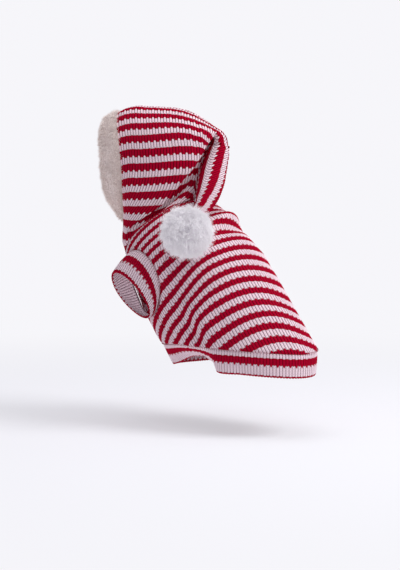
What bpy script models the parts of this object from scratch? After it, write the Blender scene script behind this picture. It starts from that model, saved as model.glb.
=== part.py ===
"""A knitted, hooded dog sweater with a stocking-cap tail and a pompom, in the form it has when worn.

The origin is the middle of the neck seam. The wearer faces -Y and its left side is +X. The lengths below are
millimetres, and MM turns them into metres when a mesh is made. Each piece of cloth is a wall whose outer
face comes from the sections in the tables, and neighbouring pieces lie GAP apart at their seams.
"""

import bpy
import numpy as np
from mathutils import Vector
from mathutils.bvhtree import BVHTree

MM = 0.001
GAP = 0.3
CLOTH = 1.8
HOOD_CLOTH = 1.4
BAND_CLOTH = 2.6

# The body is a leaning tube. "along" runs down its axis from the neck, "lean" is the axis's angle from the
# vertical in degrees, and the three radii go to the spine, the breastbone and the flanks.
BODY_COLUMNS = ("along", "lean", "spine", "breast", "flank")
BODY_SECTIONS = (
    (0, 43, 57, 57, 57),
    (28, 43, 66, 64, 64),
    (60, 43, 71, 72, 69),
    (92, 42, 75, 79, 68),
    (119, 42, 77, 80, 67),
    (150, 41, 77, 74, 65),
    (179, 41, 76, 70, 63),
    (212, 40, 76, 68, 62),
    (250, 38, 74, 66, 60),
)

# Angles round the body are degrees from the spine, positive toward the wearer's left. The neck seam and the
# hem seam are cuts through the tube: a mean place along its axis and how far it swings round the body.
NECK_MEAN, NECK_SWING, NECK_TURN = 5.6, 4.8, 20.0
HEM_MEAN, HEM_SWING = 170.0, 66.0

# Each armhole is an ellipse on the body, and the back panel meets it along its rear edge.
ARMHOLE_ALONG, ARMHOLE_ANGLE = 58.0, 109.0
ARMHOLE_HALF_LENGTH, ARMHOLE_HALF_ANGLE = 40.0, 26.0

# The back panel's edge above and below the armhole: angle at each share of the way from neck to hem.
EDGE_COLUMNS = ("share", "angle")
SHOULDER_SEAM = ((0.0, 28), (0.10, 37), (0.20, 52), (0.30, 68), (0.385, 85))
SIDE_SEAM = ((0.65, 109), (0.73, 113), (0.86, 109), (1.0, 105))

# Large folds of the body cloth, raised or sunk along its surface normal.
FOLD_COLUMNS = ("along", "angle", "height", "half_along", "half_angle", "slant")
BODY_FOLDS = (
    (47, -8, 7.0, 9, 34, 0.25),
    (64, -10, -3.0, 7, 30, 0.25),
    (150, 88, -6.0, 30, 6.0, 0.0),
    (152, 76, 3.5, 28, 7.0, 0.0),
    (150, -86, -5.0, 28, 7.0, 0.0),
    (100, -40, 2.0, 9, 22, -0.4),
)

# The sleeve band starts just inside the armhole and above the cloth. Its rim is an ellipse: its middle, and
# the half axes to its lower end and to its rear.
SLEEVE_SHARE, SLEEVE_LIFT, SLEEVE_SWELL = 0.975, 0.7, 1.5
SLEEVE_RIM_MIDDLE = (70.0, 11.0, -73.0)
SLEEVE_RIM_DOWN = (-7.0, 21.0, -25.0)
SLEEVE_RIM_REAR = (9.5, 22.5, 8.0)

# The hem band hangs from the hem seam. "tuck" is how far it turns in under the body, in degrees.
HEM_BAND, HEM_SET_IN = 25.0, 0.8
HEM_COLUMNS = ("angle", "tuck")
HEM_TUCK = (
    (-180, 22), (-130, 28), (-100, 35), (-70, 12), (-30, 2), (0, 0),
    (60, 4), (80, 12), (92, 50), (105, 58), (135, 32), (180, 22),
)

# The hood is in the head's own frame, whose axes are back, side (toward the wearer's left) and up, because
# the head is turned by HEAD_TURN to the left. Each station is a line over the left half of the hood, from the
# seam on top, over the widest place, down to the edge of the big fold, and then through the fold to the neck.
HEAD_TURN = 33.0
HOOD_COLUMNS = (
    "top_back", "top_up", "edge_back", "edge_side", "edge_up", "wide", "bow", "fold", "neck_angle",
)
HOOD_STATIONS = (
    (-59, 132, -52, 0, 8, 40, 9, 0.0, 180),
    (-42, 139, -46, 30, -12, 45, 9, 0.0, 135),
    (-22, 139, -30, 48, 3, 48, 4, 0.0, 95),
    (-3, 138, -6, 50, 19, 50, 2, 0.1, 66),
    (14, 136, 12, 47, 34, 49, 0, 0.2, 46),
    (29, 131, 28, 43, 55, 46, 0, 0.6, 30),
    (41, 124, 41, 37, 72, 41, 0, 1.0, 17),
    (51, 117, 50, 31, 90, 34, 0, 1.0, 8),
    (62, 110.5, 57.5, 18, 105, 19, 0, 1.28, 0),
)
CROWN_SHARE, CROWN_POWER, CHEEK_POWER = 0.42, 2.1, 1.5
FOLD_DEPTH, FOLD_BACK, FOLD_ARCH = 14.0, 4.5, 0.4
NAPE_BOW, NAPE_BOW_FROM = 12.0, 6.4
FOLD_DROP, EDGE_DROP = 3.0, 5.0
HOOD_MIDDLE = np.array([5.0, 0.0, 70.0])

# The tail goes on from the last station: middles in the head's frame, and the two half widths.
TAIL_COLUMNS = ("back", "side", "up", "half_across", "half_deep")
TAIL_SECTIONS = (
    (60.5, 1, 93.0, 9.5, 17.0),
    (60, 4, 87, 12, 15.5),
    (59, 12, 79, 13.5, 13),
    (57.5, 24, 64, 15, 12.5),
    (56.5, 39, 46, 14.5, 12),
    (55, 56, 31, 11, 10.5),
    (53, 71, 22, 8.5, 8),
    (49.1, 88.2, 11.5, 6.5, 6),
)

# How far the ring between hood and tail bulges out, back, to the side and up.
TAIL_ELBOW = (2.5, 0.0, 2.0)

# The fleece band round the face: share of the way from the forehead to the chin, and how far its front edge
# lies forward of, inside of and above the hood's edge.
TRIM_COLUMNS = ("share", "forward", "inward", "lift")
TRIM_SECTIONS = (
    (0.0, 15, 0, -8),
    (0.15, 20, 7, -7),
    (0.35, 25, 10, 0),
    (0.60, 26, 9, -3),
    (0.80, 20, 11, 0),
    (0.92, 14, 9, 4),
    (1.0, 9, 0, 9),
)
TRIM_THICK, TRIM_CROWN, TRIM_SINK, TRIM_CLEAR = 7.0, 3.0, 1.5, 0.3
TRIM_MIDDLE = np.array([-57.5, 0.0, 70.0])

POMPOM_MIDDLE = (44.6, 104.0, -1.0)
POMPOM_CORE, POMPOM_REACH = 20.0, 30.5
LOCK_COUNT, LOCK_ROOT_SHARE, LOCK_BEND = 240, 0.15, 0.6
LOCK_SHORTEST, LOCK_UNEVEN = 2.0, 0.14
LOCK_CLEAR_ROOT, LOCK_CLEAR_TIP = 3.2, 1.0
POMPOM_SEED = 5

# How much thinner a wall is pressed where it would run through itself, and how often at most.
PRESS, PRESS_ROUNDS = 0.8, 8

# How much creases are eased when their walls are mitred, and the longest mitre.
MITRE_EASE, MITRE_MOST = 0.08, 1.8

# Where the strap between armhole and shoulder seam ends, half of a seam's gap in degrees, and the part of GAP
# by which each half of the hood keeps off the middle.
STRAP_END, SEAM_ANGLE, HALF_GAP = 0.372, 0.16, 0.6

# Faces along and round each piece.
YOKE_ROWS, ARM_ROWS, CHEST_ROWS = 3, 14, 9
BACK_COLUMNS, STRAP_COLUMNS, CHEST_COLUMNS = 26, 5, 14
SLEEVE_STEPS, SLEEVE_RINGS = 28, 4
HEM_RINGS, BACK_HEM_COLUMNS, BELLY_HEM_COLUMNS = 4, 30, 18
HOOD_STEPS, CROWN_POINTS, FOLD_POINTS, NAPE_POINTS = 24, 13, 4, 6
TAIL_STEPS = 13
TRIM_STEPS, TRIM_SIDES = 48, 10

RED, PALE, CREAM, WHITE = (0.60, 0.01, 0.03), (0.80, 0.62, 0.68), (0.82, 0.77, 0.72), (0.86, 0.86, 0.90)


def smooth(rows, name, columns, at):
    """A column of a table, read as a smooth curve along the table's first column."""
    table = np.array(rows, float)
    x, y = table[:, 0], table[:, columns.index(name)]
    at = np.clip(at, x[0], x[-1])
    slope = np.gradient(y, x)
    i = np.clip(np.searchsorted(x, at, side="right") - 1, 0, len(x) - 2)
    step = x[i + 1] - x[i]
    t = (at - x[i]) / step
    start, end = y[i] + t * slope[i] * step, y[i + 1] - (1 - t) * slope[i + 1] * step
    ease = t * t * (3 - 2 * t)
    return start * (1 - ease) + end * ease


def counted(rows, name, columns, at):
    """The same for a table whose first column is not its place: rows are numbered from 0."""
    return smooth([(i, *row) for i, row in enumerate(rows)], name, ("number", *columns), at)


def unit(vectors):
    return vectors / np.maximum(np.linalg.norm(vectors, axis=-1, keepdims=True), 1e-9)


# The body's axis, stepped once so that any place along it can be read off.
AXIS_STEP = 1.0
AXIS_ALONG = np.arange(0, BODY_SECTIONS[-1][0] + AXIS_STEP, AXIS_STEP)
AXIS_LEAN = np.radians(smooth(BODY_SECTIONS, "lean", BODY_COLUMNS, AXIS_ALONG))
AXIS_Y = np.cumsum(np.sin(AXIS_LEAN)) * AXIS_STEP
AXIS_Z = -np.cumsum(np.cos(AXIS_LEAN)) * AXIS_STEP


def bare_body(along, angle):
    """The point on the body's tube, before its folds."""
    turn = np.radians(angle)
    lean, spine, breast, flank = (smooth(BODY_SECTIONS, c, BODY_COLUMNS, along) for c in BODY_COLUMNS[1:])
    lean = np.radians(lean)
    height = np.where(np.cos(turn) > 0, spine, breast) * np.cos(turn)
    y = np.interp(along, AXIS_ALONG, AXIS_Y - AXIS_Y[0]) + height * np.cos(lean)
    z = np.interp(along, AXIS_ALONG, AXIS_Z - AXIS_Z[0]) + height * np.sin(lean)
    return np.stack([flank * np.sin(turn), y, z], -1)


def normal_of(surface, along, angle):
    """The outward normal of a surface given as a function of along and angle."""
    down = surface(along + 0.5, angle) - surface(along - 0.5, angle)
    across = surface(along, angle + 0.5) - surface(along, angle - 0.5)
    return unit(np.cross(across, down))


def body(along, angle):
    """The point on the body's cloth, with its large folds."""
    angle = np.asarray(angle, float)
    turned = (angle + 180) % 360 - 180
    raised = np.zeros(np.broadcast(along, angle).shape)
    for at, middle, height, half_along, half_angle, slant in BODY_FOLDS:
        aside = (turned - middle) / half_angle
        down = (along - at - slant * (turned - middle)) / half_along
        raised = raised + height * np.exp(-aside**2 - down**2)
    return bare_body(along, angle) + normal_of(bare_body, along, angle) * raised[..., None]


def neck_along(angle):
    aside = np.abs((np.asarray(angle, float) + 180) % 360 - 180)
    return NECK_MEAN + NECK_SWING * np.cos(np.radians(aside - NECK_TURN))


def hem_along(angle):
    return HEM_MEAN + HEM_SWING * np.cos(np.radians(angle))


def share_to_along(share, angle):
    """How far down the axis a share of the way from the neck seam to the hem seam lies."""
    return neck_along(angle) + GAP + (hem_along(angle) - neck_along(angle) - 2 * GAP) * share


def armhole_angle(along, rear):
    """The angle of the armhole's rear or front edge."""
    reach = np.clip((along - ARMHOLE_ALONG) / ARMHOLE_HALF_LENGTH, -1, 1)
    half = ARMHOLE_HALF_ANGLE * np.sqrt(1 - reach**2)
    return ARMHOLE_ANGLE - half if rear else ARMHOLE_ANGLE + half


def back_edge(share):
    """The back panel's edge: shoulder seam, rear of the armhole, side seam."""
    if share <= SHOULDER_SEAM[-1][0]:
        return float(smooth(SHOULDER_SEAM, "angle", EDGE_COLUMNS, share))
    if share >= SIDE_SEAM[0][0]:
        return float(smooth(SIDE_SEAM, "angle", EDGE_COLUMNS, share))
    return armhole_edge(share, True)


def armhole_edge(share, rear):
    """Where a level of the panels meets the armhole's rear or front edge."""
    angle = ARMHOLE_ANGLE
    for _ in range(60):
        angle = 0.5 * angle + 0.5 * float(armhole_angle(share_to_along(share, angle), rear))
    return angle


def along_to_share(along, angle):
    start = neck_along(angle) + GAP
    return float((along - start) / (hem_along(angle) - GAP - start))


# The levels of the two panels, as shares of the way from neck to hem: they have one at the armhole's top, one
# at its bottom and one at the end of the strap, and share them so that their seams run side by side.
ARM_TOP = along_to_share(ARMHOLE_ALONG - ARMHOLE_HALF_LENGTH, ARMHOLE_ANGLE)
ARM_BOTTOM = along_to_share(ARMHOLE_ALONG + ARMHOLE_HALF_LENGTH, ARMHOLE_ANGLE)
ARM_STEPS = np.linspace(0, 1, ARM_ROWS + 1)
ARM_LEVELS = ARM_TOP + (ARM_BOTTOM - ARM_TOP) * (0.7 * ARM_STEPS + 0.15 * (1 - np.cos(np.pi * ARM_STEPS)))
ARM_LEVELS[np.argmin(np.abs(ARM_LEVELS - STRAP_END))] = STRAP_END
YOKE_LEVELS = np.linspace(0, ARM_TOP, YOKE_ROWS + 1)
CHEST_LEVELS = np.linspace(ARM_BOTTOM, 1, CHEST_ROWS + 1)
LEVELS = np.concatenate([YOKE_LEVELS[:-1], ARM_LEVELS, CHEST_LEVELS[1:]])


class Sheet:
    """A sheet of cloth: points with their outward normals, and faces, which becomes a closed wall."""

    def __init__(self):
        self.points, self.normals, self.faces, self.places = [], [], [], {}

    def point(self, place, normal):
        key = tuple(np.round(place, 3))
        if key not in self.places:
            self.places[key] = len(self.points)
            self.points.append(place)
            self.normals.append(normal)
        return self.places[key]

    def grid(self, places, normals):
        """Adds a grid of points, and the faces between them."""
        index = np.array([[self.point(p, n) for p, n in zip(*line)] for line in zip(places, normals)])
        for a, b in zip(index[:-1], index[1:]):
            for corner in range(len(a) - 1):
                face = [a[corner], b[corner], b[corner + 1], a[corner + 1]]
                self.faces.append([v for i, v in enumerate(face) if v not in face[:i]])
        return index

    def closed(self, inward):
        """Outer points, the points inside them, and the faces of outside, inside and rim."""
        outer = np.array(self.points)
        count = len(outer)
        edges = {(a, b) for face in self.faces for a, b in zip(face, face[1:] + face[:1])}
        rim = [[b, a, a + count, b + count] for a, b in sorted(edges) if (b, a) not in edges]
        inner = [[v + count for v in reversed(face)] for face in self.faces]
        return np.concatenate([outer, outer - inward]), self.faces + inner + rim

    def face_out(self):
        """Turns the faces so that they look the way of the sheet's rough normals."""
        points, normals = np.array(self.points), np.array(self.normals)
        facing = sum(float(np.dot(face_normal(points, face), normals[face[0]])) for face in self.faces)
        if facing < 0:
            self.faces = [face[::-1] for face in self.faces]

    def mitre(self):
        """Replaces the normals by mitred ones, which keep a wall's thickness where the sheet is creased."""
        self.face_out()
        points = np.array(self.points)
        squares = np.zeros((len(points), 3, 3)) + np.eye(3) * MITRE_EASE
        sums = np.zeros((len(points), 3))
        for face in self.faces:
            normal = face_normal(points, face)
            for v in face:
                squares[v] += np.outer(normal, normal)
                sums[v] += normal
        normals = np.linalg.solve(squares, sums[..., None])[..., 0]
        length = np.linalg.norm(normals, axis=1, keepdims=True)
        self.normals = list(normals / length * np.clip(length, 1, MITRE_MOST))

    def wall(self, thick):
        """The sheet as a closed wall. Where it would run through itself the cloth is pressed thinner."""
        self.face_out()
        normals = np.array(self.normals)
        depth = np.full(len(normals), float(thick))
        for _ in range(PRESS_ROUNDS):
            points, faces = self.closed(normals * depth[:, None])
            tight = crossing(points, faces)
            if not tight:
                break
            depth[[v % len(normals) for v in tight]] *= PRESS
        return points, faces


def face_normal(points, face):
    """The unit normal of a face, from its diagonals or two of its edges."""
    corners = [points[v] for v in face]
    across = corners[2] - corners[0]
    return unit(np.cross(across, corners[-1] - corners[1]))


def crossing(points, faces):
    """The points of faces that run through one another without sharing a corner."""
    corners = [(f[0], f[i], f[i + 1]) for f in faces for i in range(1, len(f) - 1)]
    tree = BVHTree.FromPolygons([Vector(p) for p in points], corners, all_triangles=True)
    met = set()
    for a, b in tree.overlap(tree):
        if a < b and not set(corners[a]) & set(corners[b]):
            met |= set(corners[a]) | set(corners[b])
    return sorted(met)


def material(name, colour, roughness):
    made = bpy.data.materials.new(name)
    made.use_nodes = True
    shader = made.node_tree.nodes["Principled BSDF"]
    shader.inputs["Base Color"].default_value = (*colour, 1)
    shader.inputs["Roughness"].default_value = roughness
    shader.inputs["Metallic"].default_value = 0.0
    return made


def add_object(name, points, faces, finish):
    mesh = bpy.data.meshes.new(name)
    mesh.from_pydata([tuple(p * MM) for p in points], [], [tuple(int(v) for v in face) for face in faces])
    mesh.validate()
    mesh.materials.append(material(name, *finish))
    mesh.shade_smooth()
    made = bpy.data.objects.new(name, mesh)
    bpy.context.scene.collection.objects.link(made)
    return made


def panel_lines(levels, edges, columns):
    """Points and normals of a panel. edges gives its two side angles at a level."""
    lines, normals = [], []
    for share in levels:
        angle = np.linspace(*edges(share), columns + 1)
        along = share_to_along(share, angle)
        normal = normal_of(body, along, angle)
        if share == 1:
            normal = unit(normal * (1, 1, 0))
        lines.append(body(along, angle))
        normals.append(normal)
    return lines, normals


def back_panel():
    sheet = Sheet()

    def edges(share):
        return -back_edge(share) + SEAM_ANGLE, back_edge(share) - SEAM_ANGLE

    sheet.grid(*panel_lines(LEVELS, edges, BACK_COLUMNS))
    return add_object("back_panel", *sheet.wall(CLOTH), (RED, 0.9))


def front_panel():
    """Above the armholes a yoke, between each armhole and its shoulder seam a strap, then chest and belly."""
    sheet = Sheet()

    def strap(share):
        return back_edge(share) + SEAM_ANGLE, armhole_edge(share, True)

    def chest(share):
        front = armhole_edge(share, False)
        return front, 360 - front

    def belly(share):
        seam = back_edge(share) + SEAM_ANGLE * (share > ARM_BOTTOM)
        return seam, 360 - seam

    def far_strap(share):
        near, hole = strap(share)
        return 360 - hole, 360 - near

    upper = [share for share in ARM_LEVELS if share <= STRAP_END]
    for levels, edges, columns in (
        (YOKE_LEVELS, strap, STRAP_COLUMNS),
        (YOKE_LEVELS, chest, CHEST_COLUMNS),
        (YOKE_LEVELS, far_strap, STRAP_COLUMNS),
        (upper, strap, STRAP_COLUMNS),
        (upper, far_strap, STRAP_COLUMNS),
        (ARM_LEVELS, chest, CHEST_COLUMNS),
        (CHEST_LEVELS, belly, CHEST_COLUMNS),
    ):
        sheet.grid(*panel_lines(levels, edges, columns))
    return add_object("front_panel", *sheet.wall(CLOTH), (RED, 0.9))


def sleeve_ring(sign, step, turn):
    """A ring of the sleeve band: step 0 is the armhole seam, 1 the rim. Turn 0 is the top, 90 the rear."""
    along = ARMHOLE_ALONG - ARMHOLE_HALF_LENGTH * SLEEVE_SHARE * np.cos(turn)
    angle = (ARMHOLE_ANGLE - ARMHOLE_HALF_ANGLE * SLEEVE_SHARE * np.sin(turn)) * sign
    seam = body(along, angle) + normal_of(body, along, angle) * SLEEVE_LIFT
    middle, down, rear = (np.array(v) for v in (SLEEVE_RIM_MIDDLE, SLEEVE_RIM_DOWN, SLEEVE_RIM_REAR))
    rim = middle - down * np.cos(turn)[:, None] + rear * np.sin(turn)[:, None]
    rim = rim * np.array([sign, 1, 1])
    swell = unit(seam - seam.mean(0)) * SLEEVE_SWELL * np.sin(np.pi * step)
    return seam + (rim - seam) * step + swell


def sleeve_band(name, sign):
    turn = np.linspace(0, 2 * np.pi, SLEEVE_STEPS + 1)
    rings = np.array([sleeve_ring(sign, step, turn) for step in np.linspace(0, 1, SLEEVE_RINGS + 1)])
    normals = grid_normals(rings, True, rings.mean(1, keepdims=True))
    sheet = Sheet()
    sheet.grid(rings, normals)
    return add_object(name, *sheet.wall(BAND_CLOTH), (RED, 0.9))


def grid_normals(points, closed, middle=None):
    """Normals of a grid of points from its own spacing; closed joins the last column to the first.

    They point away from the middle, which is that of the points where none is given.
    """
    along = np.gradient(points, axis=0)
    if closed:
        ring = points[:, :-1]
        across = (np.roll(ring, -1, axis=1) - np.roll(ring, 1, axis=1)) / 2
        across = np.concatenate([across, across[:, :1]], axis=1)
    else:
        across = np.gradient(points, axis=1)
    normals = unit(np.cross(across, along))
    away = points - (points.mean((0, 1)) if middle is None else middle)
    return normals if (normals * away).sum() > 0 else -normals


def hem_ring(angle, step):
    """The hem band: step 0 is the hem seam, 1 its lower rim."""
    seam = body(hem_along(angle), angle)
    tuck = np.radians(smooth(HEM_TUCK, "tuck", HEM_COLUMNS, (angle + 180) % 360 - 180))
    inward = unit(-normal_of(body, hem_along(angle), angle) * (1, 1, 0))
    path = inward * np.sin(tuck)[..., None] + np.array([0, 0, -1]) * np.cos(tuck)[..., None]
    top = seam + inward * HEM_SET_IN + np.array([0, 0, -GAP])
    return top + path * HEM_BAND * step + inward * HEM_SET_IN * step, -inward


def hem_band(name, start, end, columns):
    angle = np.linspace(start, end, columns + 1)
    rings = np.array([hem_ring(angle, step)[0] for step in np.linspace(0, 1, HEM_RINGS + 1)])
    normals = grid_normals(rings, False)
    normals[0] = hem_ring(angle, 0)[1]
    sheet = Sheet()
    sheet.grid(rings, normals)
    return add_object(name, *sheet.wall(BAND_CLOTH), (PALE, 0.9))


TURN = np.radians(HEAD_TURN)
BACK = np.array([-np.sin(TURN), np.cos(TURN), 0.0])
SIDE = np.array([np.cos(TURN), np.sin(TURN), 0.0])
UP = np.array([0.0, 0.0, 1.0])


def from_head(points):
    """Points in the head's frame (back, side, up), put into the garment's."""
    return points[..., :1] * BACK + points[..., 1:2] * SIDE + points[..., 2:] * UP


def to_head(points):
    return np.stack([points @ BACK, points @ SIDE, points @ UP], -1)


def spread(points, count):
    """Points at equal steps along a line of points, without its first."""
    run = np.concatenate([[0], np.cumsum(np.linalg.norm(np.diff(points, axis=0), axis=1))])
    at = np.linspace(0, run[-1], count + 1)[1:]
    return np.stack([np.interp(at, run, points[:, k]) for k in range(3)], -1)


def hood_station(number, side):
    """One line over a half of the hood. Side is 1 for the left half and -1 for the right."""
    top_back, top_up, edge_back, edge_side, edge_up, wide, bow, fold, neck = (
        float(counted(HOOD_STATIONS, c, HOOD_COLUMNS, number)) for c in HOOD_COLUMNS
    )
    above = CROWN_SHARE * (1 - np.cos(np.pi / 2 * np.linspace(0, 1, 25)))
    share = np.concatenate([above, np.linspace(CROWN_SHARE, 1, 25)[1:]])
    rise = np.clip(1 - share / CROWN_SHARE, 0, 1)
    fall = np.clip((share - CROWN_SHARE) / (1 - CROWN_SHARE), 0, 1)
    out = np.where(
        share <= CROWN_SHARE,
        wide * np.sqrt(1 - rise**CROWN_POWER),
        edge_side + (wide - edge_side) * np.cos(np.pi / 2 * fall**CHEEK_POWER),
    )
    back = top_back + (edge_back - top_back) * share + 4 * bow * share * (1 - share)
    up = top_up + (edge_up - top_up) * share
    outer = np.stack([back, out, up], -1)
    outer = np.concatenate([outer[:1], spread(outer, CROWN_POINTS - 1)])
    edge = outer[-1]
    seam_angle = neck * side
    seam = to_head(body(neck_along(seam_angle) - 2 * GAP, seam_angle)) * (1, side, 1)
    drop = FOLD_DROP * fold + EDGE_DROP * (1 - fold)
    below = edge + np.array([-FOLD_BACK * fold**4, -FOLD_DEPTH * fold, -drop])
    step = np.linspace(0, 1, FOLD_POINTS + 1)[1:, None]
    folded = edge + (below - edge) * step + np.array([0, 0, FOLD_ARCH * fold]) * np.sin(np.pi * step)
    step = np.linspace(0, 1, NAPE_POINTS + 1)[1:, None]
    bow = NAPE_BOW * np.clip((number - NAPE_BOW_FROM) / (len(HOOD_STATIONS) - 1 - NAPE_BOW_FROM), 0, 1) ** 1.5
    under = below + (seam - below) * step + np.array([-bow, 0, 0]) * np.sin(np.pi * step**0.8)
    return np.concatenate([outer, folded, under])


def tail_middle(at):
    return np.array([float(counted(TAIL_SECTIONS, c, TAIL_COLUMNS, at)) for c in TAIL_COLUMNS[:3]])


def tail_lines(side, first, steps):
    """Lines round a half of the tail, going on from the hood's last line, whose points are first."""
    spacing = np.concatenate([[0], np.cumsum(np.linalg.norm(np.diff(first, axis=0), axis=1))])
    turn = np.pi * spacing / spacing[-1]
    lines = []
    for at in np.linspace(0, len(TAIL_SECTIONS) - 1, steps):
        middle = tail_middle(at)
        path = unit(tail_middle(at + 0.2) - tail_middle(at - 0.2))
        across, deep = (float(counted(TAIL_SECTIONS, c, TAIL_COLUMNS, at)) for c in TAIL_COLUMNS[3:])
        away = unit(np.cross(path, (0, 1, 0)))
        sideways = unit(np.cross(away, path)) * side
        line = middle + across * np.cos(turn)[:, None] * away + deep * np.sin(turn)[:, None] * sideways
        lines.append(line + sideways * GAP * HALF_GAP)
    outer = (1 + np.cos(turn))[:, None] / 2
    elbow = (first + lines[0]) / 2 + outer * np.array(TAIL_ELBOW)
    return np.array([elbow, *lines])


def flatten(sheet, places, side):
    """Keeps the wall's move at some points square to a direction, so that both halves' seams are parallel."""
    for place, direction in zip(places, np.broadcast_to(side, (len(places), 3))):
        normal = sheet.normals[place] - np.dot(sheet.normals[place], direction) * direction
        sheet.normals[place] = unit(normal)


def hood_half(name, side):
    """Half of the hood with its half of the tail. The halves lie GAP apart at the seam."""
    apart = np.array([0, side * GAP * HALF_GAP, 0])
    mirror = np.array([1, side, 1])
    numbers = np.linspace(0, len(HOOD_STATIONS) - 1, HOOD_STEPS + 1)
    lines = np.array([hood_station(number, side) for number in numbers]) * mirror + apart
    joined = CROWN_POINTS + FOLD_POINTS
    tail = from_head(tail_lines(side, lines[-1, :joined], TAIL_STEPS))
    lines = from_head(lines)
    whole = np.concatenate([lines[-1:, :joined], tail])
    sheet = Sheet()
    hood = sheet.grid(lines, grid_normals(lines, False, from_head(HOOD_MIDDLE)))
    cap = sheet.grid(whole, grid_normals(whole, False, whole.mean(1, keepdims=True)))
    sheet.mitre()
    flatten(sheet, hood[:, 0], SIDE)
    flatten(sheet, hood[0, CROWN_POINTS - 1:], SIDE)
    flatten(sheet, hood[-1, joined - 1:], SIDE)
    run = unit(np.gradient((whole[:, 0] + whole[:, -1]) / 2, axis=0))
    for column, away in ((0, 1), (-1, -1)):
        across = unit(whole[:, 0] - whole[:, -1]) * away
        across = unit(across - (across * run).sum(-1, keepdims=True) * run)
        for place, normal in zip(cap[1:, column], across[1:]):
            sheet.normals[place] = normal
    angles = counted(HOOD_STATIONS, "neck_angle", HOOD_COLUMNS, numbers) * side
    for place, normal in zip(hood[:, -1], normal_of(body, neck_along(angles), angles)):
        sheet.normals[place] = normal
    return add_object(name, *sheet.wall(HOOD_CLOTH), (RED, 0.9))


def trim_ring(share, side):
    """The hood's edge and the fleece band's front edge at a share of the way from forehead to chin."""
    edge = hood_station(0, 1)[:CROWN_POINTS]
    run = np.concatenate([[0], np.cumsum(np.linalg.norm(np.diff(edge, axis=0), axis=1))])
    at = np.array([np.interp(share * run[-1], run, edge[:, k]) for k in range(3)])
    forward, inward, lift = (float(smooth(TRIM_SECTIONS, c, TRIM_COLUMNS, share)) for c in TRIM_COLUMNS[1:])
    front = at + np.array([-forward, -min(inward, at[1]), lift])
    return at * (1, side, 1), front * (1, side, 1)


def hood_trim():
    """A closed ring of padded fleece, whose section is a rounded strip."""
    rings = []
    for step in np.arange(TRIM_STEPS) / TRIM_STEPS * 2:
        side, share = (1, step) if step <= 1 else (-1, 2 - step)
        edge, front = trim_ring(share, side)
        run = unit(front - edge)
        out = (edge + front) / 2 - TRIM_MIDDLE
        out = unit(out - run * (out @ run))
        edge = edge + run * TRIM_CLEAR
        turn = np.linspace(0, 2 * np.pi, TRIM_SIDES, endpoint=False)
        half = np.linalg.norm(front - edge) / 2
        across = half * np.sign(np.cos(turn)) * np.abs(np.cos(turn)) ** 0.7
        thick = TRIM_THICK / 2 * np.sign(np.sin(turn)) * np.abs(np.sin(turn)) ** 0.8
        crown = TRIM_CROWN * np.clip(np.cos(turn), 0, 1) ** 2
        ring = (edge + front) / 2 + across[:, None] * run + (thick - crown - TRIM_SINK)[:, None] * out
        rings.append(from_head(ring))
    rings = np.array(rings)
    count = TRIM_STEPS * TRIM_SIDES
    index = np.arange(count).reshape(TRIM_STEPS, TRIM_SIDES)
    faces = []
    for i in range(TRIM_STEPS):
        for j in range(TRIM_SIDES):
            after, beside = (i + 1) % TRIM_STEPS, (j + 1) % TRIM_SIDES
            faces.append([index[i, j], index[after, j], index[after, beside], index[i, beside]])
    return add_object("hood_trim", rings.reshape(-1, 3), outward(rings.reshape(-1, 3), faces), (CREAM, 0.95))


def outward(points, faces):
    """The faces, turned round if the closed body that they make is inside out."""
    volume = 0.0
    for face in faces:
        for b, c in zip(face[1:], face[2:]):
            volume += np.dot(points[face[0]], np.cross(points[b], points[c]))
    return faces if volume > 0 else [face[::-1] for face in faces]


def pompom(cloth):
    """A ball with a lock of fur drawn out of most of its faces, each shorter where cloth is near."""
    rng = np.random.default_rng(POMPOM_SEED)
    middle = from_head(np.array(POMPOM_MIDDLE))
    golden = (1 + 5**0.5) / 2
    corners = [(x, y * golden, 0) for x in (-1, 1) for y in (-1, 1)]
    corners = unit(np.array([np.roll(c, k) for c in corners for k in range(3)]))
    faces = [
        (a, b, c)
        for a in range(12) for b in range(a + 1, 12) for c in range(b + 1, 12)
        if max(np.linalg.norm(corners[p] - corners[q]) for p, q in ((a, b), (b, c), (a, c))) < 1.1
    ]
    points = list(corners)
    for _ in range(2):
        middles, finer = {}, []

        def between(a, b):
            key = (min(a, b), max(a, b))
            if key not in middles:
                middles[key] = len(points)
                points.append(unit(points[a] + points[b]))
            return middles[key]

        for a, b, c in faces:
            ab, bc, ca = between(a, b), between(b, c), between(c, a)
            finer += [(a, ab, ca), (b, bc, ab), (c, ca, bc), (ab, bc, ca)]
        faces = finer
    points = [p * POMPOM_CORE for p in points]
    shortest = POMPOM_CORE + LOCK_SHORTEST
    chosen = set(rng.permutation(len(faces))[:LOCK_COUNT].tolist())
    made = []
    for number, (a, b, c) in enumerate(faces):
        if np.dot(np.cross(points[b] - points[a], points[c] - points[a]), points[a]) < 0:
            b, c = c, b
        centre = (points[a] + points[b] + points[c]) / 3
        aim = unit(centre + rng.normal(0, LOCK_BEND, 3))
        reach = POMPOM_REACH * (1 - LOCK_UNEVEN * rng.uniform())
        while number in chosen and reach > shortest and too_near(cloth, middle, aim, reach):
            reach -= 1.0
        if number not in chosen or reach <= shortest:
            made.append((a, b, c))
            continue
        ring = []
        for corner in (a, b, c):
            ring.append(len(points))
            points.append(centre + (points[corner] - centre) * (1 - LOCK_ROOT_SHARE))
        tip = len(points)
        points.append(aim * reach)
        for (p, q), (r, s) in zip(((a, b), (b, c), (c, a)), zip(ring, ring[1:] + ring[:1])):
            made += [(p, q, s, r), (r, s, tip)]
    points = np.array(points) + middle
    return add_object("pompom", points, made, (WHITE, 0.95))


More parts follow.
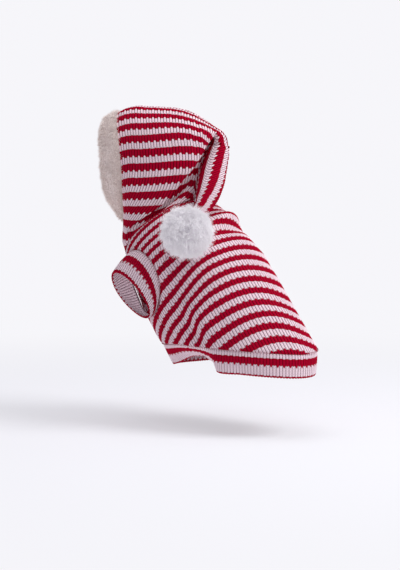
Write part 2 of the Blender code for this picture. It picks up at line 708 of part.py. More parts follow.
def too_near(cloth, middle, aim, reach):
    """Whether a lock, which is widest at its root, comes near a piece of cloth."""
    for tree in cloth:
        for step in np.linspace(0, 1, 9):
            place = middle + aim * (POMPOM_CORE + (reach - POMPOM_CORE) * step)
            clear = LOCK_CLEAR_ROOT + (LOCK_CLEAR_TIP - LOCK_CLEAR_ROOT) * step
            if tree.find_nearest(Vector(place * MM))[3] < clear * MM:
                return True
    return False


def main():
    for old in list(bpy.data.objects):
        bpy.data.objects.remove(old)
    back = back_panel()
    front_panel()
    sleeve_band("left_sleeve_band", 1)
    sleeve_band("right_sleeve_band", -1)
    side = SIDE_SEAM[-1][1]
    hem_band("back_hem_band", -side + GAP, side - GAP, BACK_HEM_COLUMNS)
    hem_band("belly_hem_band", side + GAP, 360 - side - GAP, BELLY_HEM_COLUMNS)
    left = hood_half("hood_left", 1)
    right = hood_half("hood_right", -1)
    hood_trim()
    cloth = [
        BVHTree.FromPolygons([v.co for v in o.data.vertices], [p.vertices for p in o.data.polygons])
        for o in (back, left, right)
    ]
    pompom(cloth)


main()
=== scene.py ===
# %% [markdown]
# # A striped knit sweater with a stocking-cap hood
#
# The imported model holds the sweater's solids at their real sizes. This script dresses each of them in cloth:
# ribbed knit with red and pale stripes, fleece round the face, and a fur pompom. The frame comes first,
# because every piece is made in its place. All lengths are millimetres until a mesh is made.

# %% Load the solids
import math

import bpy
import numpy as np
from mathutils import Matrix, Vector
from mathutils.bvhtree import BVHTree


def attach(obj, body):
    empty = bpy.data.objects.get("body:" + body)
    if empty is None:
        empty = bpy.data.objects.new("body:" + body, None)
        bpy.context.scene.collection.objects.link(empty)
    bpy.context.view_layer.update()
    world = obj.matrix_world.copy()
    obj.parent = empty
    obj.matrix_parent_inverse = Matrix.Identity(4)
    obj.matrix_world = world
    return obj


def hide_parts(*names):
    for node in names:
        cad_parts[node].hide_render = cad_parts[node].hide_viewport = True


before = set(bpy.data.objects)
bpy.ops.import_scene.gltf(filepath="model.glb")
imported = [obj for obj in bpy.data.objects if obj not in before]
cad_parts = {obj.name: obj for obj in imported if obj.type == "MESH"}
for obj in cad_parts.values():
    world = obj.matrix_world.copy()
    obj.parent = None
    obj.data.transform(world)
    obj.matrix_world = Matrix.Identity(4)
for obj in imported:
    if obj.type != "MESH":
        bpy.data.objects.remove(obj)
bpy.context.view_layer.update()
MM = 0.001
print("solids:", sorted(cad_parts))

# %% [markdown]
# ## Camera
#
# The sweater is seen from behind and from the wearer's left, a little from above. A wide lens close by would
# bend it, so a long lens stands two metres away and keeps it as flat as in a catalogue picture. The camera
# looks past the middle of the sweater, which leaves the same paper round it as in such a picture.

# %% Camera
SWEEP, RISE, DISTANCE = math.radians(135), math.radians(4), 2000.0
PIXEL, LENS = 1.15, 109.8  # millimetres of sweater to a pixel, and the lens
AIM_RIGHT, AIM_UP = 31.5, -57.5  # from the neck seam's middle, in pixels
toward = np.array([math.sin(SWEEP) * math.cos(RISE), -math.cos(SWEEP) * math.cos(RISE), math.sin(RISE)])
rightward = np.array([math.cos(SWEEP), math.sin(SWEEP), 0.0])
upward = np.cross(toward, rightward)
target = rightward * AIM_RIGHT * PIXEL + upward * AIM_UP * PIXEL

camera = bpy.data.objects.new("camera", bpy.data.cameras.new("camera"))
bpy.context.scene.collection.objects.link(camera)
camera.data.lens = LENS
camera.data.sensor_width = 36
camera.data.clip_end = 20
camera.location = Vector((target + toward * DISTANCE) * MM)
camera.rotation_mode = "QUATERNION"
camera.rotation_quaternion = Vector(-toward).to_track_quat("-Z", "Y")
bpy.context.scene.camera = camera
print("camera looks at", np.round(target), "mm")

# %% [markdown]
# ## Shader arithmetic
#
# A stripe is arithmetic on two numbers: which column of stitches a point is in, and which row. Writing that
# with nodes by hand is slow, so a Wire stands for a node's output, and +, -, * and the rest add Math nodes.
# Nodes adds every other kind of node to a tree, and a Shader is the tree of one material.

# %% Wires
class Wire:
    """One output of a shader node. Arithmetic on it adds the nodes for that arithmetic."""

    def __init__(self, shader, socket):
        self.shader = shader
        self.socket = socket

    def math(self, operation, *others):
        return self.shader.node("ShaderNodeMath", {"operation": operation}, [self, *others])

    def __add__(self, other):
        return self.math("ADD", other)

    def __sub__(self, other):
        return self.math("SUBTRACT", other)

    def __rsub__(self, other):
        return self.shader.node("ShaderNodeMath", {"operation": "SUBTRACT"}, [other, self])

    def __mul__(self, other):
        return self.math("MULTIPLY", other)

    def __gt__(self, other):
        return self.math("GREATER_THAN", other)

    def __mod__(self, other):
        return self.math("FLOORED_MODULO", other)

    def __abs__(self):
        return self.math("ABSOLUTE")

    __radd__ = __add__
    __rmul__ = __mul__

    def ramp(self, start, end):
        """0 below start, 1 above end, and smooth between them."""
        inputs = {"Value": self, "From Min": start, "From Max": end}
        return self.shader.node("ShaderNodeMapRange", {"interpolation_type": "SMOOTHSTEP"}, inputs)


# %% Nodes and shaders
class Nodes:
    """A node tree, with one method that adds any node to it."""

    def __init__(self, tree):
        self.nodes, self.links = tree.nodes, tree.links

    def node(self, kind, settings, inputs, output=0):
        made = self.nodes.new(kind)
        for setting, value in settings.items():
            setattr(made, setting, value)
        pairs = inputs.items() if isinstance(inputs, dict) else enumerate(inputs)
        for place, value in pairs:
            self.join(value, made.inputs[place])
        return Wire(self, made.outputs[output])

    def join(self, value, socket):
        if isinstance(value, Wire):
            self.links.new(value.socket, socket)
        else:
            socket.default_value = value

    def mix(self, first, second, amount):
        """From the first colour to the second as the amount goes from 0 to 1."""
        settings = {"data_type": "RGBA"}
        return self.node("ShaderNodeMix", settings, {0: amount, 6: first, 7: second}, output=2)

    def place(self, space):
        return self.node("ShaderNodeTexCoord", {}, [], output=space)

    def noise(self, scale, detail=2.0):
        """Noise of so many blobs a metre, with the middle at 0.5."""
        inputs = {"Vector": self.place("Object"), "Scale": scale, "Detail": detail}
        return self.node("ShaderNodeTexNoise", {}, inputs)


class Shader(Nodes):
    """The nodes of a material. Constants go on its shader's own sockets."""

    def __init__(self, name, constants):
        self.material = bpy.data.materials.new(name)
        self.material.use_nodes = True
        super().__init__(self.material.node_tree)
        self.surface = self.nodes["Principled BSDF"]
        for socket, value in constants.items():
            self.surface.inputs[socket].default_value = value

    def uv(self):
        """The two numbers of the piece's UV map."""
        u = self.node("ShaderNodeSeparateXYZ", {}, [self.node("ShaderNodeUVMap", {"uv_map": UV}, [])])
        return u, Wire(self, u.socket.node.outputs[1])

    def finish(self, colour, height=None, depth=0.0):
        self.join(colour, self.surface.inputs["Base Color"])
        if height is not None:
            bump = self.node("ShaderNodeBump", {}, {"Height": height, "Distance": depth, "Strength": 1.0})
            self.join(bump, self.surface.inputs["Normal"])
        return self.material


# %% [markdown]
# ## Knit
#
# The knit is a rib: columns of V-shaped stitches, called wales, with a narrow groove between two. The UV map
# of every knit piece counts wales in u and stripes in v, so a material can be written in the knitter's own
# units, and needs no picture. Where the yarn changes colour, the last stitches of one colour reach into the
# other. Every second wale reaches further, which gives the stripes their toothed edges.

# %% Yarn colours and the stripe
WALE, STRIPE, COURSES = 3.45, 16.1, 6  # a wale's width, a stripe's height, and its courses of stitches
# The red and pale yarns' own colours come first; the other two are the same yarns darkened as painted shade.
RED, PAINTED_SHADE_RED = (0.46, 0.0, 0.024, 1), (0.08, 0.0, 0.003, 1)
PALE, PAINTED_SHADE_PALE = (0.98, 0.77, 0.84, 1), (0.24, 0.075, 0.12, 1)
UV = "knit"


def tooth(wale, tall, short):
    """How far the stitch at the end of a stripe reaches, in rows: tall in every second wale."""
    across = abs(wale % 1 - 0.5) * 2
    arch = 1 - across * across
    second = (wale % 2) > 1
    return arch * (short + (tall - short) * second)


# %% Rib knit
GROOVE_FROM, LOOP_LEAN, LOOP_SIDE = 0.5, 1.6, 0.45
# COURSE_SHADE and SPINE_SHADE put painted shade between the loops and down the middle of each wale;
# FIBRE_SHADE makes fibres darker or lighter at random.
COURSE_SHADE, SPINE_SHADE, FIBRE_SHADE = 0.50, 0.10, 0.3
UNEVEN_BLOBS, FIBRE_BLOBS, KNIT_BUMP = 260, 2600, 0.0005


def bulge(share):
    """1 in the middle of a share that goes from 0 to 1, and 0 at both ends."""
    return 1 - (share * 2 - 1) * (share * 2 - 1)


def striped_knit(name, stripe, turned=1, shaded=0.80):
    """A rib knit. stripe takes u, v and an unevenness, and gives 1 where red. shaded is how dark the painted
    shade in the grooves is.
    """
    shader = Shader(name, {"Roughness": 0.95, "Specular IOR Level": 0.06})
    u, v = shader.uv()
    uneven = shader.noise(UNEVEN_BLOBS) - 0.5
    red = stripe(u, v, uneven)
    across = abs(u % 1 - 0.5)
    groove = (across * 2).ramp(GROOVE_FROM, 1.0)
    stitch = bulge((v * COURSES + across * LOOP_LEAN * turned) % 1)
    loop = bulge(across * 2) * LOOP_SIDE + stitch * (1 - LOOP_SIDE)
    spine = (1 - across * 5).ramp(0.0, 1.0)
    fibre = shader.noise(FIBRE_BLOBS, 3.0)
    courses = (1 - loop).ramp(0.35, 0.95)
    # Painted shade: the grooves between wales, the gaps between loops and the middle of each V are darkened
    # towards the shade colours. The fibre noise adds darker and lighter fibres at random.
    dark = groove * shaded + courses * COURSE_SHADE + spine * SPINE_SHADE + (fibre - 0.5) * FIBRE_SHADE
    dark = dark.ramp(0.0, 1.1)
    colour = shader.mix(shader.mix(PALE, PAINTED_SHADE_PALE, dark), shader.mix(RED, PAINTED_SHADE_RED, dark), red)
    return shader.finish(colour, loop * 0.7 + fibre * 0.3 - groove, KNIT_BUMP)


# %% Stripes of the body, the hood and the bands
EDGE, WOBBLE = 0.03, 0.05  # how soft and how uneven the edge of a stripe is, in rows


def repeated(upper, lower):
    """Red at every whole row. upper and lower are (width, tall tooth, short tooth) of the two edges."""

    def stripe(u, v, uneven):
        apart = (v + 0.5) % 1 - 0.5 + uneven * WOBBLE
        above = tooth(u, *upper[1:]) + upper[0]
        below = tooth(u, *lower[1:]) + lower[0]
        return (apart + above).ramp(0.0, EDGE) * (below - apart).ramp(0.0, EDGE)

    return stripe


BAND_EDGE, BAND_WOBBLE, BAND_TEETH, UPPER_TEETH = 0.5, 0.8, (2.6, 0.8), 0.3  # in millimetres, and a share


def banded(*bands):
    """Red at the given places across a folded band, in millimetres from its seam. Its teeth point down."""

    def stripe(u, v, uneven):
        across = v * STRIPE + uneven * BAND_WOBBLE
        reach = tooth(u, *BAND_TEETH)
        red = 0
        for start, end in bands:
            below_start = (across - reach * UPPER_TEETH - start).ramp(0.0, BAND_EDGE)
            red = below_start * (reach + end - across).ramp(0.0, BAND_EDGE) + red
        return red

    return stripe


body_knit = striped_knit("body_knit", repeated((0.20, 0.13, 0.04), (0.245, 0.06, 0.02)))
hood_knit = striped_knit("hood_knit", repeated((0.27, 0.04, 0.02), (0.37, -0.17, -0.05)), turned=-1)
hem_knit = striped_knit("hem_knit", banded((5.2, 13.0), (23.6, 29)), turned=-1, shaded=0.55)
sleeve_knit = striped_knit("sleeve_knit", banded((7.4, 13.8), (21.9, 27)), turned=-1, shaded=0.65)
print("knit materials:", [material.name for material in (body_knit, hood_knit, hem_knit, sleeve_knit)])

# %% [markdown]
# ## Smooth tables
#
# The cloth's form could be lifted off the solids, but a fine net of stitches needs many more points than they
# have. So it is worked out again from the same named sizes. smooth reads a column of a table as a curve
# without corners.

# %% Reading tables
def smooth(rows, column, at):
    """A column of a table, read as a smooth curve along the table's first column."""
    table = np.array(rows, float)
    x, y = table[:, 0], table[:, column]
    at = np.clip(at, x[0], x[-1])
    slope = np.gradient(y, x)
    i = np.clip(np.searchsorted(x, at, side="right") - 1, 0, len(x) - 2)
    step = x[i + 1] - x[i]
    t = (at - x[i]) / step
    start, end = y[i] + t * slope[i] * step, y[i + 1] - (1 - t) * slope[i + 1] * step
    ease = t * t * (3 - 2 * t)
    return start * (1 - ease) + end * ease


def unit(vectors):
    return vectors / np.maximum(np.linalg.norm(vectors, axis=-1, keepdims=True), 1e-9)


def measured(line):
    """How far along a line each of its points is."""
    return np.concatenate([[0], np.cumsum(np.linalg.norm(np.diff(line, axis=0), axis=1))])


def spaced(at, run, line):
    """Points of a line at other distances along it."""
    return np.stack([np.interp(at, run, line[:, k]) for k in range(3)], -1)


def numbered(rows):
    """A table with its line numbers in front, to be read by them."""
    return [(i, *row) for i, row in enumerate(rows)]


# %% [markdown]
# ## The body of the sweater
#
# The body is a leaning tube round the wearer's chest. "along" runs down its axis from the neck, and angles go
# round it from the spine, positive to the wearer's left. The large folds of the solids are raised on it, the
# long one at the left flank a little softer, and small ones are added, on every side. They are moved points
# and not a cloth simulation, because each has to lie in its own place.

# %% The tube
# along, lean, spine, breast, flank
BODY_SECTIONS = (
    (0, 43, 57, 57, 57), (28, 43, 66, 64, 64), (60, 43, 71, 72, 69), (92, 42, 75, 79, 68),
    (119, 42, 77, 80, 67), (150, 41, 77, 74, 65), (179, 41, 76, 70, 63), (212, 40, 76, 68, 62),
    (250, 38, 74, 66, 60),
)
# along, angle, height, half along, half angle, slant
LARGE_FOLDS = (
    (47, -8, 7.0, 9, 34, 0.25), (64, -10, -3.0, 7, 30, 0.25), (150, 88, -4.2, 30, 7.5, 0.0),
    (152, 74, 2.6, 28, 8.5, 0.0), (150, -86, -5.0, 28, 7.0, 0.0), (100, -40, 2.0, 9, 22, -0.4),
)
SOFT_FOLDS = (
    (126, 40, 1.2, 16, 30, 0.5), (92, 62, 1.4, 9, 26, -0.5), (118, 66, -1.2, 8, 26, -0.6),
    (185, 20, 1.3, 13, 40, 0.2), (210, -12, -1.0, 9, 30, 0.1), (100, -66, 1.5, 9, 22, 0.6),
    (124, -70, -1.4, 8, 24, 0.5), (30, 150, 1.6, 8, 26, 0.2), (62, 172, -1.5, 8, 24, 0.1),
    (86, 190, 1.3, 9, 26, -0.1), (70, 128, 1.3, 14, 8, 0.3), (74, -130, -1.2, 14, 9, 0.2),
)
NECK_MEAN, NECK_SWING, NECK_TURN = 5.6, 4.8, 20.0
HEM_MEAN, HEM_SWING = 170.0, 66.0
ARMHOLE_ALONG, ARMHOLE_ANGLE, ARMHOLE_HALF_LENGTH, ARMHOLE_HALF_ANGLE = 58.0, 109.0, 40.0, 26.0
SHOULDER_SEAM = ((0.0, 28), (0.10, 37), (0.20, 52), (0.30, 68), (0.385, 85))
SIDE_SEAM = ((0.65, 109), (0.73, 113), (0.86, 109), (1.0, 105))

# %% Places on the tube
AXIS_ALONG = np.arange(0.0, 251.0)  # a point every millimetre
AXIS_LEAN = np.radians(smooth(BODY_SECTIONS, 1, AXIS_ALONG))
AXIS_Y = np.cumsum(np.sin(AXIS_LEAN))
AXIS_Z = -np.cumsum(np.cos(AXIS_LEAN))


def around(angle):
    """The angle, between -180 and 180."""
    return (np.asarray(angle, float) + 180) % 360 - 180


def bare_body(along, angle):
    """A place on the tube without folds."""
    turn = np.radians(angle)
    lean, spine, breast, flank = (smooth(BODY_SECTIONS, c, along) for c in (1, 2, 3, 4))
    lean = np.radians(lean)
    height = np.where(np.cos(turn) > 0, spine, breast) * np.cos(turn)
    y = np.interp(along, AXIS_ALONG, AXIS_Y - AXIS_Y[0]) + height * np.cos(lean)
    z = np.interp(along, AXIS_ALONG, AXIS_Z - AXIS_Z[0]) + height * np.sin(lean)
    return np.stack([flank * np.sin(turn), y, z], -1)


def normal_of(surface, along, angle):
    down = surface(along + 0.5, angle) - surface(along - 0.5, angle)
    across = surface(along, angle + 0.5) - surface(along, angle - 0.5)
    return unit(np.cross(across, down))


def folded(along, angle, folds):
    raised = np.zeros(np.broadcast(along, angle).shape)
    for at, middle, height, half_along, half_angle, slant in folds:
        apart = around(angle - middle)
        down = (along - at - slant * apart) / half_along
        raised = raised + height * np.exp(-((apart / half_angle) ** 2) - down**2)
    return raised


def body(along, angle):
    """The cloth of the solid, with its large folds."""
    raised = folded(along, around(angle), LARGE_FOLDS)
    return bare_body(along, angle) + normal_of(bare_body, along, angle) * raised[..., None]


def neck_along(angle):
    return NECK_MEAN + NECK_SWING * np.cos(np.radians(np.abs(around(angle)) - NECK_TURN))


def hem_along(angle):
    return HEM_MEAN + HEM_SWING * np.cos(np.radians(angle))


def armhole_ring(turn, share, sign):
    """along and angle round the armhole of one side, at a share of its radius."""
    along = ARMHOLE_ALONG - ARMHOLE_HALF_LENGTH * share * np.cos(turn)
    return along, (ARMHOLE_ANGLE - ARMHOLE_HALF_ANGLE * share * np.sin(turn)) * sign


print("hem lies", hem_along(0), "mm down the back and", hem_along(180), "mm down the front")

# %% [markdown]
# Rows of stitches lie across the tube and sag a little over the loins. Stripes could be painted across the
# body at even heights, but cloth is pulled down at the flanks, so each row is a line of its own, from seam to
# seam. Wales are counted by the distance round the body, so they keep their width where the body gets wider,
# as in cloth that was cut from a flat knit.

# %% Rows and wales on the body
ROW_SCALE, ROW_SLOPE, ROW_SHIFT = 29.4, 0.00358, -0.37
SAG_FROM, SAG_TO, SAG, SAG_ANGLE, SAG_SPREAD = 85, 175, 22, -22, 40
FLANK_SLIP, FLANK_FROM, FLANK_TO = 0.75, 45, 105
LOIN_SLIP, LOIN_FROM, LOIN_TO = 0.13, 115, 155
FLANK_SLANT, FLANK_EDGE = 0.5, (-12, 33)


def sag(along, angle):
    """How many millimetres lower a row lies than straight across."""
    share = np.exp(-(((around(angle) - SAG_ANGLE) / SAG_SPREAD) ** 2))
    return np.interp(along, (SAG_FROM, SAG_TO), (0, SAG)) * share


def soft_step(at, start, end):
    share = np.clip((at - start) / (end - start), 0, 1)
    return share * share * (3 - 2 * share)


def slip(along, angle):
    """How far the rows are pulled down the flanks, in rows."""
    flank = soft_step(np.abs(around(angle)) - FLANK_SLANT * along, *FLANK_EDGE)
    loin = soft_step(along, LOIN_FROM, LOIN_TO)
    return FLANK_SLIP * soft_step(along, FLANK_FROM, FLANK_TO) * flank - LOIN_SLIP * loin


def row_at(along, angle):
    """The row at a place. Stripes get wider towards the hem, where the cloth is pulled long."""
    straight = ROW_SCALE * np.log(1 + ROW_SLOPE * (along - sag(along, angle))) + ROW_SHIFT
    return straight - slip(along, angle)


def along_of(row, angle):
    """Where a row crosses an angle, kept between the neck seam and the hem seam."""
    along = np.clip((np.exp((row - ROW_SHIFT) / ROW_SCALE) - 1) / ROW_SLOPE, 0, 260)
    for _ in range(30):
        straight = (np.exp((row + slip(along, angle) - ROW_SHIFT) / ROW_SCALE) - 1) / ROW_SLOPE
        along = along * 0.4 + (straight + sag(along, angle)) * 0.6
    return np.clip(along, neck_along(angle), hem_along(angle))


TABLE_STEP = 5.0
TABLE_ALONG, TABLE_ANGLE = np.arange(0, 251, TABLE_STEP), np.arange(0, 181, 1.0)
hoops = bare_body(TABLE_ALONG[:, None], TABLE_ANGLE[None, :] + 0 * TABLE_ALONG[:, None])
steps = np.cumsum(np.linalg.norm(np.diff(hoops, axis=1), axis=2), axis=1)
ROUND = np.concatenate([np.zeros((len(TABLE_ALONG), 1)), steps], axis=1)


def distance_round(along, angle):
    """The distance from the spine round the body, for angles from 0 to 180."""
    i = np.clip(along / TABLE_STEP, 0, len(TABLE_ALONG) - 1.001)
    j = np.clip(angle, 0, 179.999)
    low, side = i.astype(int), j.astype(int)
    a, b = i - low, j - side
    first = ROUND[low, side] * (1 - b) + ROUND[low, side + 1] * b
    second = ROUND[low + 1, side] * (1 - b) + ROUND[low + 1, side + 1] * b
    return first * (1 - a) + second * a


print("girth at the chest:", round(2 * float(distance_round(np.array([90.0]), np.array([180.0]))[0])), "mm")

# %% [markdown]
# ## From rows to a net
#
# Every knit piece is a list of rows, each a line of places with its wale number u and row number v. read_rows
# reads them all at the same wales, four to a rib, and joined puts faces between neighbours. Where a piece is
# cut off, the rows end on its edge, and faces with no area are left out. Bump alone would leave the outline
# flat, so the net's points move out by the height of the rib. Ribs, grooves and the dips at the seams are
# real shape, and only single loops are bump.

# %% Net
PER_WALE, PER_STRIPE = 4, 12
RIB, COURSE, SEAM_DIP, SEAM_WIDE = 0.55, 0.12, 1.3, 1.7
SLIVER = 0.004  # twice the area below which a face is left out, in square millimetres


def read_rows(rows):
    """Reads every row at the same wales. A row is an array whose first column is u."""
    first = min(row[0, 0] for row in rows)
    last = max(row[-1, 0] for row in rows)
    wales = np.arange(math.floor(first * PER_WALE), math.ceil(last * PER_WALE) + 1) / PER_WALE
    columns = [[np.interp(wales, row[:, 0], row[:, k]) for k in range(1, row.shape[1])] for row in rows]
    kept_wales = [np.clip(wales, row[0, 0], row[-1, 0]) for row in rows]
    return np.moveaxis(np.array(columns), 1, 2), np.array(kept_wales)


def face_normals(points, faces):
    """The normals of faces with four corners. Each is twice as long as the face's area."""
    return np.cross(points[faces[:, 2]] - points[faces[:, 0]], points[faces[:, 3]] - points[faces[:, 1]])


def point_normals(points, faces):
    normals = np.zeros_like(points)
    size = face_normals(points, faces)
    for corner in range(4):
        np.add.at(normals, faces[:, corner], size)
    return unit(normals)


def joined(places, u, v, keep=None):
    """Faces between a grid's points, without slivers, their corners' u and v, and the points that stay."""
    rows, columns = u.shape
    index = np.arange(rows * columns).reshape(rows, columns)
    faces = np.stack([index[:-1, :-1], index[1:, :-1], index[1:, 1:], index[:-1, 1:]], -1).reshape(-1, 4)
    flat = places.reshape(-1, 3)
    if keep is not None:
        faces = faces[keep.reshape(-1)]
    faces = faces[np.linalg.norm(face_normals(flat, faces), axis=1) > SLIVER]
    corners = np.stack([u.reshape(-1)[faces], v.reshape(-1)[faces]], -1)
    _, first, same = np.unique(np.round(flat, 3), axis=0, return_index=True, return_inverse=True)
    same = same.reshape(-1)
    return flat[first], same[faces], corners, first


# %% Ribbed cloth
def rib_height(u, v):
    """The height of the knit over the cloth's middle: round ribs, and a low wave for each course."""
    across = np.abs(u % 1 - 0.5) * 2
    wave = 0.5 + 0.5 * np.cos(2 * np.pi * (v * COURSES + 0.4 * across))
    return RIB * (np.sqrt(np.clip(1 - across**2, 0, 1)) - 0.75) + COURSE * (wave - 0.5)


def add_mesh(name, points, faces, material, corners=None):
    """Makes a smooth mesh object. corners are each face corner's u and v."""
    mesh = bpy.data.meshes.new(name)
    faces = faces if isinstance(faces, list) else faces.tolist()
    mesh.from_pydata((points.reshape(-1, 3) * MM).tolist(), [], faces)
    if corners is not None:
        mesh.uv_layers.new(name=UV).data.foreach_set("uv", corners.astype(np.float32).ravel())
    mesh.shade_smooth()
    mesh.materials.append(material)
    made = bpy.data.objects.new(name, mesh)
    bpy.context.scene.collection.objects.link(made)
    return made


def ribbed(name, points, normals, faces, corners, u, v, edge, material):
    """Raises the ribs, sinks the seams, and makes the mesh. edge is the distance to the nearest seam."""
    height = rib_height(u, v) - SEAM_DIP * np.exp(-((edge / SEAM_WIDE) ** 2))
    points = points + normals * height[:, None]
    area = np.linalg.norm(face_normals(points, faces), axis=1).sum() / 2e6
    print(f"{name}: {len(faces) * 2} triangles, {area:.4f} square metres")
    return add_mesh(name, points, faces, material, corners)


def knit_piece(name, places, u, v, edge, material, keep=None, inside=None):
    """Turns a grid of places into ribbed cloth that faces away from inside, or from its own middle."""
    points, faces, corners, first = joined(places, u, v, keep)
    normals = point_normals(points, faces)
    away = points - (points.mean(0) if inside is None else inside)
    if (normals * away).sum() < 0:
        normals, faces, corners = -normals, faces[:, ::-1], corners[:, ::-1]
    u, v, edge = (each.reshape(-1)[first] for each in (u, v, edge))
    return ribbed(name, points, normals, faces, corners, u, v, edge, material)


# %% [markdown]
# ## Back panel
#
# The back panel reaches from the neck over the back to the hem, and round to the shoulder seams, the armholes
# and the side seams. A grid with straight edges couldn't follow those, so its rows are followed outward from
# the spine until they meet that edge.

# %% Where the back panel ends
def share_of(along, angle):
    start = neck_along(angle)
    return (along - start) / (hem_along(angle) - start)


ARMHOLE_TUCK = 0.97  # the back panel ends inside the armhole's edge, under the sleeve band


def seam_table():
    """The back panel's edge angle at every share of the way from neck to hem."""
    shares = np.linspace(0, 1, 601)
    hole = np.full(len(shares), ARMHOLE_ANGLE)
    for _ in range(60):
        along = neck_along(hole) + shares * (hem_along(hole) - neck_along(hole))
        reach = np.clip((along - ARMHOLE_ALONG) / ARMHOLE_HALF_LENGTH, -1, 1)
        edge = ARMHOLE_ANGLE - ARMHOLE_TUCK * ARMHOLE_HALF_ANGLE * np.sqrt(1 - reach**2)
        hole = 0.5 * hole + 0.5 * edge
    top, low = smooth(SHOULDER_SEAM, 1, shares), smooth(SIDE_SEAM, 1, shares)
    start, end = SHOULDER_SEAM[-1][0], SIDE_SEAM[0][0]
    return shares, np.where(shares < start, top, np.where(shares > end, low, hole))


SEAM_SHARES, SEAM_ANGLES = seam_table()


def seam_angle(share):
    return np.interp(share, SEAM_SHARES, SEAM_ANGLES)


print("the back panel ends at", np.round(seam_angle([0.0, 0.4, 1.0])), "degrees from the spine")

# %% Back panel
ANGLE_SAMPLES, SPARE_ROWS = 1401, 0.6


def row_ends(angle, beyond, inside, middle):
    """The stretch of a row round the middle that is inside the piece, and the angles of its two ends."""
    centre = int(np.argmin(np.abs(angle - middle)))
    low = centre - int(np.argmin(inside[centre::-1])) + 1 if not inside[: centre + 1].all() else 0
    high = centre + int(np.argmin(inside[centre:])) - 1 if not inside[centre:].all() else len(angle) - 1
    ends = []
    for last, next_out in ((low, low - 1), (high, high + 1)):
        next_out = min(max(next_out, 0), len(angle) - 1)
        gap = beyond[last] - beyond[next_out]
        share = beyond[last] / gap if abs(gap) > 1e-9 else 0
        ends.append(angle[last] + (angle[next_out] - angle[last]) * share)
    return np.concatenate([[ends[0]], angle[low : high + 1], [ends[1]]])


def body_rows(start_angle, end_angle, middle):
    """Rows of the body between two angles round a middle: arrays of u, v, along, angle and edge distance."""
    rows = []
    highest = float(row_at(hem_along(0.0), 0.0)) + SPARE_ROWS
    for row in np.arange(0.0, highest, 1 / PER_STRIPE):
        angle = np.linspace(start_angle, end_angle, ANGLE_SAMPLES)
        beyond = np.abs(around(angle)) - seam_angle(share_of(along_of(row, angle), angle))
        angle = row_ends(angle, beyond, beyond <= 0 if middle == 0 else beyond >= 0, middle)
        along = along_of(row, angle)
        span = distance_round(along, np.abs(around(angle)))
        if middle == 180:
            span = distance_round(along, np.full(len(angle), 180.0)) - span
        u = np.maximum.accumulate(np.where(angle < middle, -span, span) / WALE)
        edge = np.minimum(u - u[0], u[-1] - u) * WALE
        edge = np.minimum(edge, np.minimum(along - neck_along(angle), hem_along(angle) - along))
        rows.append(np.stack([u, row_at(along, angle), along, angle, edge], -1))
    return rows


def with_folds(along, angle):
    """The cloth with its large and its small folds."""
    raised = folded(along, angle, SOFT_FOLDS)
    return body(along, angle) + normal_of(bare_body, along, angle) * raised[..., None]


data, wales = read_rows(body_rows(-140, 140, 0))
rows_v, along, angle, edge = (data[..., k] for k in range(4))
back_panel = knit_piece("back_panel_knit", with_folds(along, angle), wales, rows_v, edge, body_knit)

# %% [markdown]
# ## Front panel
#
# The front panel is the chest and belly, with a strap over each shoulder. A hole could be cut by a boolean,
# but that breaks the net. Here the grid covers the armholes too, so the faces there are left out and the
# points round them are drawn to the armhole's edge, under the sleeve band.

# %% Front panel
HOLE_EDGE, HOLE_DROP, HOLE_MIDDLE = 0.955, 0.86, 0.3  # shares of the armhole's radius
HOLE_RADIUS = 34  # on average, in millimetres
BODY_MIDDLE = np.array([0.0, 60.0, -60.0])

data, wales = read_rows(body_rows(20, 340, 180))
rows_v, along, angle, edge = (data[..., k] for k in range(4))
turned = around(angle)
off_along = (along - ARMHOLE_ALONG) / ARMHOLE_HALF_LENGTH
off_angle = (np.abs(turned) - ARMHOLE_ANGLE) / ARMHOLE_HALF_ANGLE
radius = np.hypot(off_along, off_angle)
near_edge = (radius < HOLE_EDGE) & (radius > HOLE_MIDDLE)
pull = np.where(near_edge, HOLE_EDGE / np.maximum(radius, HOLE_MIDDLE), 1.0)
open_point = radius < HOLE_DROP
keep = ~(open_point[:-1, :-1] | open_point[1:, :-1] | open_point[1:, 1:] | open_point[:-1, 1:])
along = ARMHOLE_ALONG + off_along * pull * ARMHOLE_HALF_LENGTH
turned = np.sign(turned) * (ARMHOLE_ANGLE + off_angle * pull * ARMHOLE_HALF_ANGLE)
edge = np.minimum(edge, np.clip(radius - HOLE_EDGE, 0, 9) * HOLE_RADIUS)
places = with_folds(along, turned)
front_panel = knit_piece("front_panel_knit", places, wales, rows_v, edge, body_knit, keep, BODY_MIDDLE)

# %% [markdown]
# ## Folded bands
#
# Sleeves and hem end in bands of knit, folded in half, so their rim is a soft fold and not a cut edge. A
# sheet with a Solidify modifier would have a sharp rim. So a band is made from its outer face: the net goes
# down that face, round the fold, and back up on the inside.

# %% Bands
BAND_THICK = 2.6
BAND_STEPS, FOLD_STEPS = 29, 8


def band_net(face_at, closed, swell):
    """The band's outer face at the wales' places, with its directions out and down."""
    steps = np.linspace(0, 1, BAND_STEPS)
    lines = np.array([face_at(step) for step in steps])
    run = measured(lines[0])
    columns = np.linspace(0, run[-1], round(run[-1] / WALE) * PER_WALE + 1)
    outer = np.array([spaced(columns, run, line) for line in lines])
    down = unit(np.gradient(outer, axis=0))
    across = np.gradient(outer, axis=1)
    if closed:
        across[:, 0] = across[:, -1] = outer[:, 1] - outer[:, -2]
    out = unit(np.cross(across, down))
    out = out if (out * (outer - outer.mean(1, keepdims=True))).sum() > 0 else -out
    return outer + out * (swell * np.sin(np.pi * steps) ** 0.7)[:, None, None], out, down, steps


